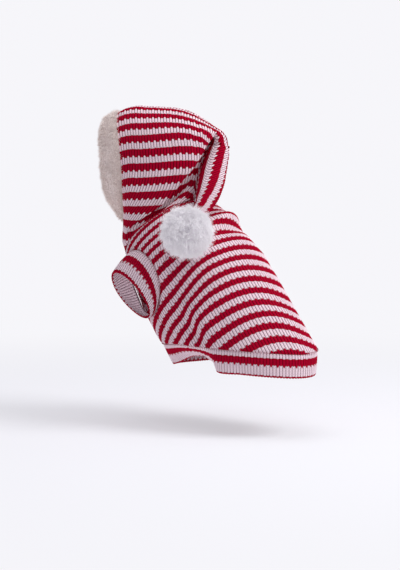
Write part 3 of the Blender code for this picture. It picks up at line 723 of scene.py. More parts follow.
def folded_band(name, face_at, length, material, closed, swell):
    """face_at(step) gives the band's outer face as a line of points, from the seam at 0 to the rim at 1."""
    outer, out, down, steps = band_net(face_at, closed, swell)
    half = BAND_THICK / 2
    places, mm = list(outer), list(steps * length)
    for turn in np.linspace(0, np.pi, FOLD_STEPS)[1:]:
        places.append(outer[-1] - out[-1] * half + half * (np.cos(turn) * out[-1] + np.sin(turn) * down[-1]))
        mm.append(length + half * turn)
    for step in range(BAND_STEPS - 3, 0, -2):
        places.append(outer[step] - out[step] * BAND_THICK)
        mm.append(length + half * np.pi + (1 - steps[step]) * length)
    places, mm = np.array(places), np.array(mm)[:, None]
    v = np.repeat(mm / STRIPE, places.shape[1], axis=1)
    u = np.repeat(np.arange(places.shape[1])[None, :] / PER_WALE, places.shape[0], axis=0)
    edge = np.repeat(np.abs(mm), places.shape[1], axis=1)
    if not closed:
        edge = np.minimum(edge, np.minimum(u, u[0, -1] - u) * WALE)
    return knit_piece(name, places, u, v, edge, material)


# %% [markdown]
# The sleeve bands are short: they stand on the armhole seam like a cap sleeve. Their rim is an ellipse that
# leans forward, as it does round a foreleg.

# %% Sleeve bands
SLEEVE_SHARE, SLEEVE_LIFT, SLEEVE_SWELL = 0.975, 0.7, 1.5
SLEEVE_SINK, BAND_SWELL = 0.4, 0.4
SLEEVE_RIM_MIDDLE, SLEEVE_RIM_DOWN = (70.0, 11.0, -73.0), (-7.0, 21.0, -25.0)
SLEEVE_RIM_REAR = (9.5, 22.5, 8.0)
SLEEVE_LENGTH = 24.0


def sleeve_face(sign):
    turn = np.linspace(0, 2 * np.pi, 361)
    along, angle = armhole_ring(turn, SLEEVE_SHARE, sign)
    seam = body(along, angle) + normal_of(body, along, angle) * (SLEEVE_LIFT - SLEEVE_SINK)
    middle, down, rear = (np.array(v) for v in (SLEEVE_RIM_MIDDLE, SLEEVE_RIM_DOWN, SLEEVE_RIM_REAR))
    rim = (middle - down * np.cos(turn)[:, None] + rear * np.sin(turn)[:, None]) * np.array([sign, 1, 1])

    def face_at(step):
        return seam + (rim - seam) * step + unit(seam - seam.mean(0)) * SLEEVE_SWELL * np.sin(np.pi * step)

    return face_at


left_sleeve, right_sleeve = (
    folded_band(name, sleeve_face(sign), SLEEVE_LENGTH, sleeve_knit, True, BAND_SWELL)
    for name, sign in (("left_sleeve_knit", 1), ("right_sleeve_knit", -1))
)

# %% [markdown]
# The hem band hangs from the hem seam. At the flanks and under the belly it turns inward under the body,
# which a plain ring round the hem wouldn't do, so its angle is read from a table.

# %% Hem bands
HEM_BAND, HEM_SET_IN, HEM_LAP, HEM_SWELL = 25.0, 0.8, 0.4, 0.5
# angle round the body, and how far the band is turned inward, in degrees
HEM_TUCK = (
    (-180, 22), (-130, 28), (-100, 35), (-70, 12), (-30, 2), (0, 0),
    (60, 4), (80, 12), (92, 50), (105, 58), (135, 32), (180, 22),
)


def hem_face(start, end):
    angle = np.linspace(start, end, 721)
    seam = body(hem_along(angle), angle)
    tuck = np.radians(smooth(HEM_TUCK, 1, around(angle)))
    inward = unit(-normal_of(body, hem_along(angle), angle) * (1, 1, 0))
    path = inward * np.sin(tuck)[:, None] + np.array([0, 0, -1]) * np.cos(tuck)[:, None]
    top = seam + inward * HEM_SET_IN + np.array([0, 0, HEM_LAP])

    def face_at(step):
        return top + path * (HEM_BAND + HEM_LAP) * step + inward * HEM_SET_IN * step

    return face_at


HEM_SIDE = SIDE_SEAM[-1][1]
HEM_PARTS = (("back_hem_knit", -HEM_SIDE, HEM_SIDE), ("belly_hem_knit", HEM_SIDE, 360 - HEM_SIDE))
back_hem, belly_hem = (
    folded_band(name, hem_face(start, end), HEM_BAND, hem_knit, False, HEM_SWELL)
    for name, start, end in HEM_PARTS
)

# %% [markdown]
# ## The hood
#
# The hood has two halves, joined by a seam over the top. A bag of cloth could be dropped over a head in a
# simulation, but its big fold would never land in this place, so the hood is built from stations. They are
# worked out in the head's own frame, because the head is turned: back, side and up. Each station is a line
# from the top seam down over the widest place to the edge of the big fold, through the fold, and down the
# nape to the neck. Rows are counted down each line, and they are cut off by the top seam where the hood rises
# to its peak.

# %% Stations of the hood
HEAD_TURN = math.radians(33.0)
BACK = np.array([-math.sin(HEAD_TURN), math.cos(HEAD_TURN), 0.0])
SIDE = np.array([math.cos(HEAD_TURN), math.sin(HEAD_TURN), 0.0])
UP = np.array([0.0, 0.0, 1.0])
# top back, top up, edge back, edge side, edge up, wide, bow, fold, neck angle, first row, tuck, pleat, rise
STATIONS = (
    (-59, 132, -52, 0, 8, 40, 9, 0.0, 180, 1.38, 0, 0.0, 0.17),
    (-42, 139, -46, 30, -12, 45, 9, 0.0, 135, 1.13, 0, 0.0, 0.09),
    (-22, 139, -30, 48, 3, 48, 4, 0.0, 95, 0.98, 3, 0.3, 0.07),
    (-3, 138, -6, 50, 19, 50, 2, 0.1, 66, 0.89, 6, 0.6, 0.11),
    (14, 136, 12, 47, 34, 49, 0, 0.2, 46, 0.90, 9, 0.9, 0.25),
    (29, 131, 28, 43, 55, 46, 0, 0.6, 30, 1.02, 12, 1.2, 0.48),
    (41, 124, 41, 37, 72, 41, 0, 1.0, 17, 1.35, 12, 1.35, 0.60),
    (51, 117, 50, 31, 90, 34, 0, 1.0, 8, 1.73, 8, 1.3, 0.60),
    (62, 110.5, 57.5, 18, 105, 19, 0, 1.28, 0, 2.0, 0, 1.28, 0.60),
)
LAST = len(STATIONS) - 1
CROWN_SHARE, CROWN_POWER, CHEEK_POWER, CROWN_POINTS = 0.42, 2.1, 1.5, 41
FOLD_DEPTH, FOLD_BACK, FOLD_DROP, EDGE_DROP = 14.0, 4.5, 3.0, 5.0
NAPE_BOW, NAPE_BOW_FROM, NAPE_LAP, NAPE_POINTS = 12.0, 6.4, 0.2, 30


def from_head(points):
    return points[..., :1] * BACK + points[..., 1:2] * SIDE + points[..., 2:] * UP


def to_head(points):
    return np.stack([points @ BACK, points @ SIDE, points @ UP], -1)


def eased(points, times):
    """Cuts the corners of a line a few times, so that it bends softly."""
    for _ in range(times):
        near = points[:-1] * 0.75 + points[1:] * 0.25
        far = points[:-1] * 0.25 + points[1:] * 0.75
        points = np.concatenate([points[:1], np.stack([near, far], 1).reshape(-1, 3)[1:-1], points[-1:]])
    return points


# %% Lines of the hood
def outer_line(top, edge, wide, bow):
    """The outer face of a station: a round crown down to the widest place, then a cheek down to the edge."""
    crown_shares = CROWN_SHARE * (1 - np.cos(np.pi / 2 * np.linspace(0, 1, CROWN_POINTS)))
    share = np.concatenate([crown_shares, np.linspace(CROWN_SHARE, 1, CROWN_POINTS)[1:]])
    crown = np.clip(1 - share / CROWN_SHARE, 0, 1)
    fall = np.clip((share - CROWN_SHARE) / (1 - CROWN_SHARE), 0, 1)
    out = np.where(
        share <= CROWN_SHARE,
        wide * np.sqrt(1 - crown**CROWN_POWER),
        edge[1] + (wide - edge[1]) * np.cos(np.pi / 2 * fall**CHEEK_POWER),
    )
    back = top[0] + (edge[0] - top[0]) * share + 4 * bow * share * (1 - share)
    return np.stack([back, out, top[1] + (edge[2] - top[1]) * share], -1)


def hood_line(number, side):
    """A line from the top seam to the neck, in the head's frame, with its first row and its rise."""
    values = [float(smooth(numbered(STATIONS), k, number)) for k in range(1, 14)]
    wide, bow, fold, neck, first_row, tuck, pleat, rise = values[5:]
    outer = outer_line(values[:2], values[2:5], wide, bow)
    edge = outer[-1]
    drop = FOLD_DROP * fold + EDGE_DROP * (1 - fold)
    below = edge + np.array([-FOLD_BACK * fold**4, -FOLD_DEPTH * pleat, -drop])
    seam = to_head(body(neck_along(neck * side) - NAPE_LAP, neck * side)) * (1, side, 1)
    bow = NAPE_BOW * np.clip((number - NAPE_BOW_FROM) / (LAST - NAPE_BOW_FROM), 0, 1) ** 1.5
    step = np.linspace(0, 1, NAPE_POINTS)[1:, None]
    nape = below + (seam - below) * step + np.array([-bow, 0, 0]) * np.sin(np.pi * step**0.8)
    inside = edge + np.array([-0.55 * tuck, -7 * pleat, 0.8 * tuck])
    parts = [outer, inside[None], below[None], nape] if tuck > 0.5 else [outer, below[None], nape]
    return eased(np.concatenate(parts), 2), first_row, rise


print("the hood's top seam is at most", max(row[1] for row in STATIONS), "mm above the neck seam")

# %% [markdown]
# The tail goes on from the last station. Its sections are ellipses along a curved path that leaves the peak,
# turns down beside the hood and ends at the pompom. The rows run along the tail, so here they are shared out
# round each section, from the outer seam to the one underneath.

# %% Stations of the tail
# back, side, up, half across, half deep, outer row, inner row
TAIL = (
    (60.5, 1, 93.0, 9.5, 17.0, 2.15, 4.6), (60, 4, 87, 12, 15.5, 2.13, 4.6), (59, 12, 79, 13.5, 13, 2.1, 4.6),
    (57.5, 24, 64, 15, 12.5, 2.05, 4.6), (56.5, 39, 46, 14.5, 12, 1.95, 4.6),
    (55, 56, 31, 11, 10.5, 1.9, 4.3), (53, 71, 22, 8.5, 8, 1.9, 3.9), (49.1, 88.2, 11.5, 6.5, 6, 2.0, 3.4),
)
TAIL_ELBOW = np.array([2.5, 0.0, 2.0])
TURNS = np.linspace(0, np.pi, 49)


def tail_values(at):
    return np.array([float(smooth(numbered(TAIL), k, at)) for k in range(1, 8)])


def tail_line(at, side):
    """A line half round the tail, with its outer and its inner row."""
    back, sideways, up, across, deep, outer_row, inner_row = tail_values(at)
    path = unit(tail_values(at + 0.2)[:3] - tail_values(at - 0.2)[:3])
    away = unit(np.cross(path, (0, 1, 0)))
    beside = unit(np.cross(away, path)) * side
    middle = np.array([back, sideways, up])
    line = middle + across * np.cos(TURNS)[:, None] * away + deep * np.sin(TURNS)[:, None] * beside
    return line, outer_row, inner_row


# %% [markdown]
# Every row of the hood is followed from the face to the centre of the nape, or on along the tail. The wales
# are counted from the face, where the cloth starts.

# %% Rows of the hood and of the tail
HOOD_SAMPLES, TAIL_SAMPLES = 361, 181
RISE_FROM, RISE_TO = 30, 62  # where a station's rows rise to the fold, in millimetres from the top seam
SPARE_ROW = 0.1


def read_by(turn, line):
    """A place on a line of points that are numbered from 0, as TURNS are."""
    return np.array([np.interp(turn, np.arange(len(TURNS)), line[:, k]) for k in range(3)])


def hood_row(row, lines, runs, scales, mirror):
    """u, v, place and edge distance of one row, from the face to the nape."""
    at = np.array([np.interp(row, scale, run) for scale, run in zip(scales, runs)])
    hood = [[np.interp(a, run, line[0][:, k]) for k in range(3)] for a, run, line in zip(at, runs, lines)]
    hood = np.array(hood) * mirror
    real_row = np.array([np.clip(row, scale[0], scale[-1]) for scale in scales])
    edge = np.minimum(at, np.array([run[-1] for run in runs]) - at)
    return np.column_stack([measured(hood) / WALE, real_row, hood, edge])


def tail_row(row, tails, start, first_row, inner_row, first_wale):
    """The same for a row on the tail. It starts where the hood's row ends, and rounds the elbow between."""
    tail = []
    for line, outer_row, inner in tails:
        place = np.clip((row - outer_row) / (inner - outer_row), 0, 1)
        half = (inner - outer_row) * STRIPE
        real_row = outer_row + place * (inner - outer_row)
        tail.append([*read_by(place * (len(TURNS) - 1), line), real_row, min(place, 1 - place) * half])
    tail = np.array(tail)
    share = np.clip((row - first_row) / (inner_row - first_row), 0, 1) * (len(TURNS) - 1)
    corner = read_by(share, start)
    bulged = TAIL_ELBOW * (1 + np.cos(share / (len(TURNS) - 1) * np.pi)) / 2
    path = np.array([corner, (corner + tail[0, :3]) / 2 + bulged, tail[0, :3]])
    path = np.concatenate([eased(path, 3), tail[1:, :3]])
    other = np.concatenate([np.repeat(tail[:1, 3:], len(path) - len(tail) + 1, axis=0), tail[1:, 3:]])
    return np.column_stack([measured(path) / WALE + first_wale, other[:, 0], path, other[:, 1]])


# %% Rows of half the hood
def hood_half(side):
    """The rows of half the hood and of half the tail, each read at its wales."""
    lines = [hood_line(number, side) for number in np.linspace(0, LAST, HOOD_SAMPLES)]
    runs = [measured(line) for line, _, _ in lines]
    scales = [
        first + run / STRIPE + rise * soft_step(run, RISE_FROM, RISE_TO)
        for run, (_, first, rise) in zip(runs, lines)
    ]
    mirror = np.array([1, side, 1])
    tails = [tail_line(at, side) for at in np.linspace(0, len(TAIL) - 1, TAIL_SAMPLES)]
    first_row, inner_row = scales[-1][0], TAIL[0][6]
    cut = np.interp(np.linspace(first_row, inner_row, len(TURNS)), scales[-1], runs[-1])
    start = spaced(cut, runs[-1], lines[-1][0]) * mirror
    rows, tail_rows = [], []
    lowest, highest = min(scale[0] for scale in scales), max(scale[-1] for scale in scales)
    for row in np.arange(lowest - SPARE_ROW, highest, 1 / PER_STRIPE):
        rows.append(hood_row(row, lines, runs, scales, mirror))
        if row <= inner_row + 1 / PER_STRIPE:
            tail_rows.append(tail_row(row, tails, start, first_row, inner_row, rows[-1][-1, 0]))
    return read_rows(rows), read_rows(tail_rows)


# %% [markdown]
# A half of the hood and its half of the tail are one piece of cloth, so their nets are joined before the ribs
# are raised: points that share a place become one.

# %% Hood halves
def hood_piece(name, side):
    parts = []
    for data, wales in hood_half(side):
        places = from_head(data[..., 1:4])
        parts.append(joined(places, wales, data[..., 0]) + (wales, data[..., 0], data[..., 4]))
    points = np.concatenate([part[0] for part in parts])
    faces = np.concatenate([parts[0][1], parts[1][1] + len(parts[0][0])])
    corners = np.concatenate([part[2] for part in parts])
    u, v, edge = (np.concatenate([part[k].reshape(-1)[part[3]] for part in parts]) for k in (4, 5, 6))
    _, first, same = np.unique(np.round(points, 2), axis=0, return_index=True, return_inverse=True)
    faces = same.reshape(-1)[faces]
    points, u, v, edge = points[first], u[first], v[first], edge[first]
    normals = point_normals(points, faces)
    widest = int(np.argmax(points @ SIDE * side))
    if (normals[widest] @ SIDE) * side < 0:
        normals, faces, corners = -normals, faces[:, ::-1], corners[:, ::-1]
    return ribbed(name, points, normals, faces, corners, u, v, edge, hood_knit)


hood_left = hood_piece("hood_left_knit", 1)
hood_right = hood_piece("hood_right_knit", -1)

# %% [markdown]
# ## Stitches along the seams
#
# The pieces are joined with an overlock seam, which shows as short slanting stitches in the groove between
# two pieces. A bump would be too flat for a seam that catches the light, so every stitch is a small bent bar
# of thread. Sewing thread has one colour and knit has two, so the seam shows as red dashes over the pale
# stripes.

# %% Thread
BAR_STEPS, BAR_SIDES, BAR_SLANT, BAR_SINK, BAR_TAPER = 5, 5, 0.45, 0.8, 0.6


def thread(name, seams, gap, reach, thick, material):
    """Stitches along seams. A seam is (points, directions away from the cloth, height of the thread)."""
    bars = []
    for line, out, lift in seams:
        run = measured(line)
        at = np.arange(gap, run[-1] - gap, gap)
        place, ahead = (spaced(at + further, run, line) for further in (0, 0.5))
        away = unit(spaced(at, run, out))
        along = unit(ahead - place)
        across = unit(np.cross(along, away) + along * BAR_SLANT)
        beside = np.cross(away, across)
        step = np.linspace(-1, 1, BAR_STEPS)[None, :, None, None]
        turn = (np.arange(BAR_SIDES) / BAR_SIDES * 2 * np.pi)[None, None, :, None]
        middle = place[:, None, None] + across[:, None, None] * reach * step
        middle = middle + away[:, None, None] * (lift - BAR_SINK * step**2)
        ring = np.cos(turn) * away[:, None, None] + np.sin(turn) * beside[:, None, None]
        ring = middle + ring * thick / 2 * (1 - BAR_TAPER * step**4)
        bars.append(ring.reshape(-1, BAR_STEPS * BAR_SIDES, 3))
    bars = np.concatenate(bars)
    index = np.arange(BAR_STEPS * BAR_SIDES).reshape(BAR_STEPS, BAR_SIDES)
    after = np.roll(index, -1, axis=1)
    sides = np.stack([index[:-1], index[1:], after[1:], after[:-1]], -1).reshape(-1, 4)
    faces = (np.arange(len(bars))[:, None, None] * BAR_STEPS * BAR_SIDES + sides).reshape(-1, 4)
    print(name, len(bars), "stitches,", len(faces) * 2, "triangles")
    return add_mesh(name, bars, faces, material)


# %% Sewing thread, and seams on the body
wine = Shader("thread", {"Roughness": 0.8, "Specular IOR Level": 0.2})
twist = wine.noise(1500, 2.0)
wine.finish(wine.mix((0.20, 0.0, 0.012, 1), (0.42, 0.01, 0.035, 1), twist), twist, 0.0003)


def body_seam(along, angle, lift=0.1):
    return body(along, angle), normal_of(body, along, angle), lift


def panel_seam(start, end, sign):
    share = np.linspace(start, end, 160)
    angle = seam_angle(share) * sign
    return body_seam(neck_along(angle) + share * (hem_along(angle) - neck_along(angle)), angle)


# %% Seams
SEAM_INSIDE, ARMHOLE_SEAM = 0.2, 0.985  # millimetres inside the panel, and a share of the armhole's radius
THREAD_GAP, THREAD_REACH, THREAD_THICK = 3.1, 1.3, 0.5
ARMHOLE_LIFT, CROWN_LIFT, HEAD_MIDDLE = 0.4, -0.2, np.array([0.0, 0.0, 60.0])

round_angle = np.linspace(-180, 180, 361)
edges = (hem_along(round_angle) - SEAM_INSIDE, neck_along(round_angle) + SEAM_INSIDE)
seams = [body_seam(along, round_angle) for along in edges]
for sign in (1, -1):
    seams.append(panel_seam(0.01, SHOULDER_SEAM[-1][0], sign))
    turn = np.linspace(0, 2 * np.pi, 241)
    seams.append(body_seam(*armhole_ring(turn, ARMHOLE_SEAM, sign), ARMHOLE_LIFT))
crown = np.array([hood_line(number, 1)[0][0] for number in np.linspace(0.1, LAST - 0.1, 120)])
seams.append((from_head(crown), from_head(crown - HEAD_MIDDLE), CROWN_LIFT))
seam_thread = thread("seam_thread", seams, THREAD_GAP, THREAD_REACH, THREAD_THICK, wine.material)


# %% [markdown]
# ## Fleece round the face
#
# The hood's edge is bound with a padded strip of cream fleece. Its body is a soft ring, a little lumpy, and
# its pile is thousands of short fibres that stand off it and lean at random, because pile shows most where it
# breaks the outline.

# %% Fleece ring
# share of the way from forehead to chin, forward, inward, lift
TRIM = (
    (0.0, 15, 0, -8), (0.15, 20, 7, -7), (0.35, 25, 10, 0), (0.60, 26, 9, -3),
    (0.80, 20, 11, 0), (0.92, 14, 9, 4), (1.0, 9, 0, 9),
)
TRIM_THICK, TRIM_CROWN, TRIM_SINK, TRIM_CLEAR = 7.0, 3.0, 1.5, -0.6
TRIM_FLAT, TRIM_ROUND = 0.7, 0.8  # below 1, a section is squarer than an ellipse
TRIM_MIDDLE = np.array([-57.5, 0.0, 70.0])
TRIM_STEPS, TRIM_SIDES = 420, 34
LUMPS = ((0.6, 9, 3), (0.7, 3.2, 5), (0.4, 1.6, 7))  # height, size and seed
rng = np.random.default_rng(11)


def squared(wave, power):
    """A wave between -1 and 1, filled out where the power is below 1."""
    return np.sign(wave) * np.abs(wave) ** power


def trim_rings(steps, sides):
    """Sections of the strip, from the forehead down the left side to the chin and back up the right."""
    line = hood_line(0.0, 1)[0]
    line = line[line[:, 2] >= STATIONS[0][4] - 0.01]
    run = measured(line)
    rings = []
    for step in np.arange(steps) / steps * 2:
        side, share = (1, step) if step <= 1 else (-1, 2 - step)
        edge = np.array([np.interp(share * run[-1], run, line[:, k]) for k in range(3)])
        forward, inward, lift = (float(smooth(TRIM, k, share)) for k in (1, 2, 3))
        front = (edge + np.array([-forward, -min(inward, edge[1]), lift])) * (1, side, 1)
        edge = edge * (1, side, 1)
        path = unit(front - edge)
        out = (edge + front) / 2 - TRIM_MIDDLE
        out = unit(out - path * (out @ path))
        edge = edge + path * TRIM_CLEAR
        turn = np.linspace(0, 2 * np.pi, sides, endpoint=False)
        half = np.linalg.norm(front - edge) / 2
        across = half * squared(np.cos(turn), TRIM_FLAT)
        thick = TRIM_THICK / 2 * squared(np.sin(turn), TRIM_ROUND)
        crown = TRIM_CROWN * np.clip(np.cos(turn), 0, 1) ** 2
        rings.append((edge + front) / 2 + across[:, None] * path + (thick - crown - TRIM_SINK)[:, None] * out)
    return from_head(np.array(rings))


def ring_faces(rows, columns):
    index = np.arange(rows * columns).reshape(rows, columns)
    after = np.roll(index, -1, axis=0)
    return np.stack([index, after, np.roll(after, -1, axis=1), np.roll(index, -1, axis=1)], -1).reshape(-1, 4)


def lumps(points, size, seed):
    """A soft unevenness between -1 and 1 that changes over a length of size."""
    wave = np.random.default_rng(seed).normal(0, 1 / size, (7, 3))
    phase = np.random.default_rng(seed + 1).uniform(0, 6.28, 7)
    return np.sin(points @ wave.T * 2.2 + phase).mean(-1) * 2


# %% Fleece
rings = trim_rings(TRIM_STEPS, TRIM_SIDES).reshape(-1, 3)
faces = ring_faces(TRIM_STEPS, TRIM_SIDES)
normals = point_normals(rings, faces)
if (normals * (rings - from_head(TRIM_MIDDLE))).sum() < 0:
    normals, faces = -normals, faces[:, ::-1]
raised = sum(height * lumps(rings, size, seed) for height, size, seed in LUMPS)
rings = rings + normals * raised[:, None]

fleece = Shader("fleece", {"Roughness": 0.95, "Sheen Weight": 0.3, "Specular IOR Level": 0.1})
curl = fleece.noise(420, 3.0)
patch = fleece.noise(90, 2.0)
curls = (curl * 0.7 + patch * 0.6).ramp(0.35, 0.95)
fleece_colour = fleece.mix((0.66, 0.54, 0.51, 1), (0.95, 0.84, 0.81, 1), curls)
fleece.finish(fleece_colour, curl, 0.0012)
trim = add_mesh("trim_fleece", rings, faces, fleece.material)
print("fleece ring:", len(faces) * 2, "triangles")


# %% [markdown]
# A fibre is a thin ribbon that tapers to its tip. fibres builds any number of them at once from their roots,
# middles and tips. u and v of a fibre say which one it is and how far along it a point lies.

# %% Fibres
def fibres(name, root, middle, tip, width, material):
    """Ribbons that have one face from root to middle, and a pointed one from there to the tip."""
    count = len(root)
    path = unit(tip - root)
    aside = unit(np.cross(path, rng.normal(size=(count, 3)))) * width[:, None] / 2
    points = np.stack([root - aside, root + aside, middle + aside * 0.8, middle - aside * 0.8, tip], 1)
    first = np.arange(count)[:, None] * 5
    quads = first + np.array([0, 1, 2, 3])
    tips = first + np.array([3, 2, 4])
    shade = rng.uniform(size=(count, 1))
    quad_uv = np.stack([np.repeat(shade, 4, 1), np.tile([0.0, 0.0, 0.6, 0.6], (count, 1))], -1)
    tip_uv = np.stack([np.repeat(shade, 3, 1), np.tile([0.6, 0.6, 1.0], (count, 1))], -1)
    faces = quads.tolist() + tips.tolist()
    corners = np.concatenate([quad_uv.reshape(-1, 2), tip_uv.reshape(-1, 2)])
    print(name, count * 3, "triangles")
    return add_mesh(name, points, faces, material, corners)


def hair_shader(name, root, tip, dark, constants):
    """Fibres from a root colour to a tip colour, some of them darker at random. The darker root is painted
    shade, and a faint glow is painted light that stands for light let through.
    """
    shader = Shader(name, constants)
    which, along = shader.uv()
    # Painted shade: each fibre is darker towards its root, where the fibres shade each other.
    colour = shader.mix(root, tip, along.ramp(0.0, 0.8))
    colour = shader.mix(colour, dark, which.ramp(0.6, 1.6))
    # Painted light: each fibre glows faintly in its own colour.
    shader.join(colour, shader.surface.inputs["Emission Color"])
    return shader.finish(colour)


# %% Pile
PILE, PILE_LEAN, PILE_LONG, PILE_WIDE = 42000, 0.45, (1.6, 4.6), (0.22, 0.40)
PILE_SAG = np.array([0, 0, -0.25])
picked = rng.integers(0, len(faces), PILE)
mixed = rng.dirichlet((1, 1, 1, 1), PILE)
root = (rings[faces[picked]] * mixed[..., None]).sum(1)
out = unit((normals[faces[picked]] * mixed[..., None]).sum(1))
lean = rng.normal(0, PILE_LEAN, (PILE, 3)) + PILE_SAG
long = rng.uniform(*PILE_LONG, (PILE, 1))
middle = root + unit(out + lean * 0.5) * long * 0.5
tip = middle + unit(out + lean * 1.3) * long * 0.5
# The first colour is the pile's roots, darkened as painted shade.
pile_look = hair_shader(
    "fleece_fibre", (0.66, 0.56, 0.53, 1), (1.0, 0.93, 0.90, 1), (0.60, 0.50, 0.47, 1),
    {"Roughness": 0.9, "Specular IOR Level": 0.1, "Emission Strength": 0.06},
)
pile = fibres("trim_pile", root, middle, tip, rng.uniform(*PILE_WIDE, PILE), pile_look)

# %% [markdown]
# ## Pompom
#
# A pompom of long fur is tied to the end of the tail. Blender's hair particles would make a fine ball of fur,
# but a mesh is what stays when the model is exported, so the hairs are ribbons like the pile. They stand in
# locks: a lock is a bundle of hairs that start together, spread out, and lean to a shared tip. Hairs that
# would reach into the cloth are kept shorter, as if the pompom was pressed against it.

# %% Room for the pompom
POMPOM = from_head(np.array([44.6, 104.0, -1.0]))
HEART, REACH, LOCKS, HAIRS = 19.0, 34.0, 1300, 44
CLOTH_GAP = 1.0  # between a hair's tip and the cloth


def ball(count):
    """Directions spread evenly over a ball."""
    i = np.arange(count) + 0.5
    rise, turn = 1 - 2 * i / count, np.pi * (1 + 5**0.5) * i
    flat = np.sqrt(1 - rise**2)
    return np.stack([flat * np.cos(turn), flat * np.sin(turn), rise], -1)


near = [
    BVHTree.FromPolygons([v.co for v in node.data.vertices], [p.vertices for p in node.data.polygons])
    for name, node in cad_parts.items()
    if name in ("back_panel", "hood_left", "hood_right")
]


def free_reach(direction):
    """How far a hair may grow before it meets cloth."""
    start = Vector(POMPOM * MM)
    hits = [tree.ray_cast(start, Vector(direction), REACH * MM)[3] for tree in near]
    return min([hit / MM - CLOTH_GAP for hit in hits if hit is not None] + [REACH])


# %% Pompom
LOCK_BEND, LOCK_SAG, HAIR_SPREAD, HAIR_WIDE = 0.10, np.array([0, 0, -0.05]), 0.09, (0.16, 0.32)
HAIR_SUNK, HALFWAY = 1.5, 0.55  # how deep the hairs start in the heart, and where they bend

aims = unit(ball(LOCKS) + rng.normal(0, 0.05, (LOCKS, 3)))
reach = np.array([free_reach(aim) for aim in aims])
bend = rng.normal(0, LOCK_BEND, (LOCKS, 3)) + LOCK_SAG
length = np.minimum(reach, REACH * rng.uniform(0.70, 1.0, LOCKS))
aims, bend, length, reach = (np.repeat(a, HAIRS, axis=0) for a in (aims, bend, length, reach))
count = LOCKS * HAIRS
start = unit(aims + rng.normal(0, HAIR_SPREAD, (count, 3)))
root = POMPOM + start * np.minimum(HEART - HAIR_SUNK, reach * 0.9)[:, None]
middle_out = np.minimum(HEART + (length - HEART) * HALFWAY, reach)
middle = POMPOM + unit(start + bend * 0.35 + rng.normal(0, 0.05, (count, 3))) * middle_out[:, None]
tip_out = np.minimum(length * rng.uniform(0.84, 1.04, count), np.minimum(reach, REACH))
tip = POMPOM + unit(aims + bend + rng.normal(0, 0.03, (count, 3))) * tip_out[:, None]
# The first colour is the fur's roots, darkened as painted shade.
fur_look = hair_shader(
    "fur_hair", (0.80, 0.76, 0.84, 1), (1.0, 0.98, 1.0, 1), (0.88, 0.85, 0.92, 1),
    {"Roughness": 0.6, "Specular IOR Level": 0.2, "Emission Strength": 0.05},
)
fur = fibres("pompom_fur", root, middle, tip, rng.uniform(*HAIR_WIDE, count), fur_look)

# %% [markdown]
# Under the fur lies a round heart of tangled wool, so that no gap between hairs looks through to the far
# side.

# %% Heart of the pompom
HEART_ROWS, HEART_COLUMNS, HEART_LUMPS = 40, 80, (1.2, 3.0, 8)  # the lumps' height, size and seed

rise = np.linspace(0, np.pi, HEART_ROWS)[:, None]
turn = np.linspace(0, 2 * np.pi, HEART_COLUMNS + 1)[None, :]
blank = 0 * rise + 0 * turn
heart = np.stack([np.sin(rise) * np.cos(turn), np.sin(rise) * np.sin(turn), np.cos(rise) + blank], -1)
heart = heart * (HEART + HEART_LUMPS[0] * lumps(heart * HEART, *HEART_LUMPS[1:]))[..., None]
points, faces, _, _ = joined(heart + POMPOM, blank, blank)
wool = Shader("fur_heart", {"Roughness": 0.9, "Sheen Weight": 0.3})
tangle = wool.noise(900, 3.0)
wool.finish(wool.mix((0.72, 0.70, 0.77, 1), (0.95, 0.94, 0.98, 1), tangle), tangle, 0.002)
heart = add_mesh("pompom_heart", points, faces, wool.material)
print("pompom's heart:", round(2 * HEART), "mm across, and the fur reaches", round(2 * REACH), "mm")

# %% [markdown]
# ## Bodies and nodes
#
# Every piece is paired with the solid it dresses. It rides on the body that the solid belongs to and takes the
# solid's place, which is hidden. The pile, the fur and the thread are extra pieces on a solid that something
# else already dresses, so they only ride on the body and replace nothing.

# %% Bodies and nodes
DRESSED = (
    (back_panel, "back_panel"), (front_panel, "front_panel"), (left_sleeve, "left_sleeve_band"),
    (right_sleeve, "right_sleeve_band"), (back_hem, "back_hem_band"), (belly_hem, "belly_hem_band"),
    (hood_left, "hood_left"), (hood_right, "hood_right"), (trim, "hood_trim"), (heart, "pompom"),
)
for piece, node in DRESSED:
    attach(piece, "root")
    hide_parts(node)
for piece, node in ((pile, "hood_trim"), (fur, "pompom"), (seam_thread, "back_panel")):
    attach(piece, "root")
print(len(DRESSED), "pieces take the place of solids")

# %% [markdown]
# A real sweater starts as flat pieces of knit. The fleece and the pompom are filled and not sheets.

# %% [markdown]
# ## Light
#
# In the picture the light comes from the right and from above, and shadows are soft. A sun lamp would draw
# them hard, so a large area lamp is the key light. A weak one overhead keeps the hood's top from going dark.

# %% Lamps
LIT_SPOT = Vector((0, 0.06, -0.02))  # metres, as all that is said of lamps and floor


def lamp(name, place, size, watts):
    made = bpy.data.objects.new(name, bpy.data.lights.new(name, "AREA"))
    made.data.size = size
    made.data.energy = watts
    made.location = place
    made.rotation_mode = "QUATERNION"
    made.rotation_quaternion = (LIT_SPOT - place).to_track_quat("-Z", "Y")
    bpy.context.scene.collection.objects.link(made)
    print(name, "lamp:", watts, "watts,", size, "metres wide")


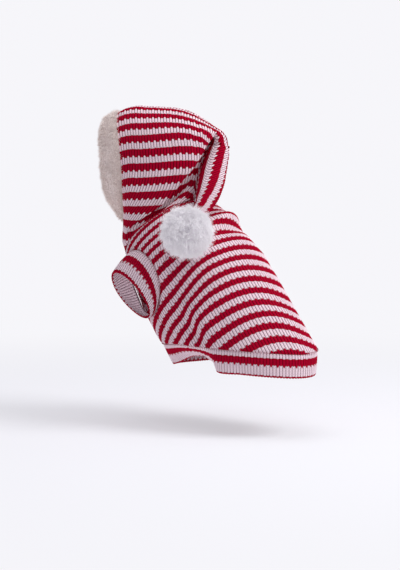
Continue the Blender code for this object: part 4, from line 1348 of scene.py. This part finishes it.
bpy.context.scene.view_settings.view_transform = "Standard"
lamp("key", Vector(toward * 0.55 + rightward * 1.3 + UP * 1.3), 0.9, 23)
lamp("top", Vector((0.0, 0.1, 1.6)), 1.2, 8)

# %% [markdown]
# The room is dim apart from a lit backdrop behind the sweater, as in a studio: a backdrop that was bright all
# round would wash the folds out. The floor is paper that glows a little, and fully where it is far away, so
# it runs into the backdrop without an edge.

# %% Backdrop and floor
BACKDROP, DIM, BLACK = (0.925, 0.92, 0.955, 1), (0.31, 0.31, 0.34, 1), (0.0, 0.0, 0.0, 1)
LIT_FROM_TO = (0.88, 0.965)  # the cosine of the angle from the middle of the backdrop
FLOOR, FLOOR_HALF, NEAR_GLOW = -0.22, 12, 0.46

world = bpy.data.worlds.new("room")
bpy.context.scene.world = world
world.use_nodes = True
room = Nodes(world.node_tree)
looking = [room.place("Generated"), tuple(-toward)]
behind = room.node("ShaderNodeVectorMath", {"operation": "DOT_PRODUCT"}, looking, output="Value")
seen = room.node("ShaderNodeLightPath", {}, [], output="Is Camera Ray")
lit = behind.ramp(*LIT_FROM_TO).math("MAXIMUM", seen)
room.join(room.mix(DIM, BACKDROP, lit), room.nodes["Background"].inputs["Color"])

paper = Shader("paper", {"Roughness": 1.0, "Specular IOR Level": 0.0, "Emission Strength": 1.0})
spot = [paper.place("Object")]
away = paper.node("ShaderNodeVectorMath", {"operation": "LENGTH"}, spot, output="Value")
far = (away + (paper.noise(2) - 0.5) * 0.05).ramp(0.1, 1.1)
glow = far * (1 - NEAR_GLOW) + NEAR_GLOW
paper.join(paper.mix(BLACK, BACKDROP, glow), paper.surface.inputs["Emission Color"])
paper.finish(paper.mix((0.55, 0.55, 0.58, 1), BLACK, far))
floor_points = np.array([[x, y, FLOOR / FLOOR_HALF] for x, y in ((-1, -1), (1, -1), (1, 1), (-1, 1))])
floor = add_mesh("floor", floor_points * FLOOR_HALF / MM, [[0, 1, 2, 3]], paper.material)
print("floor", FLOOR, "metres below the neck seam's middle")
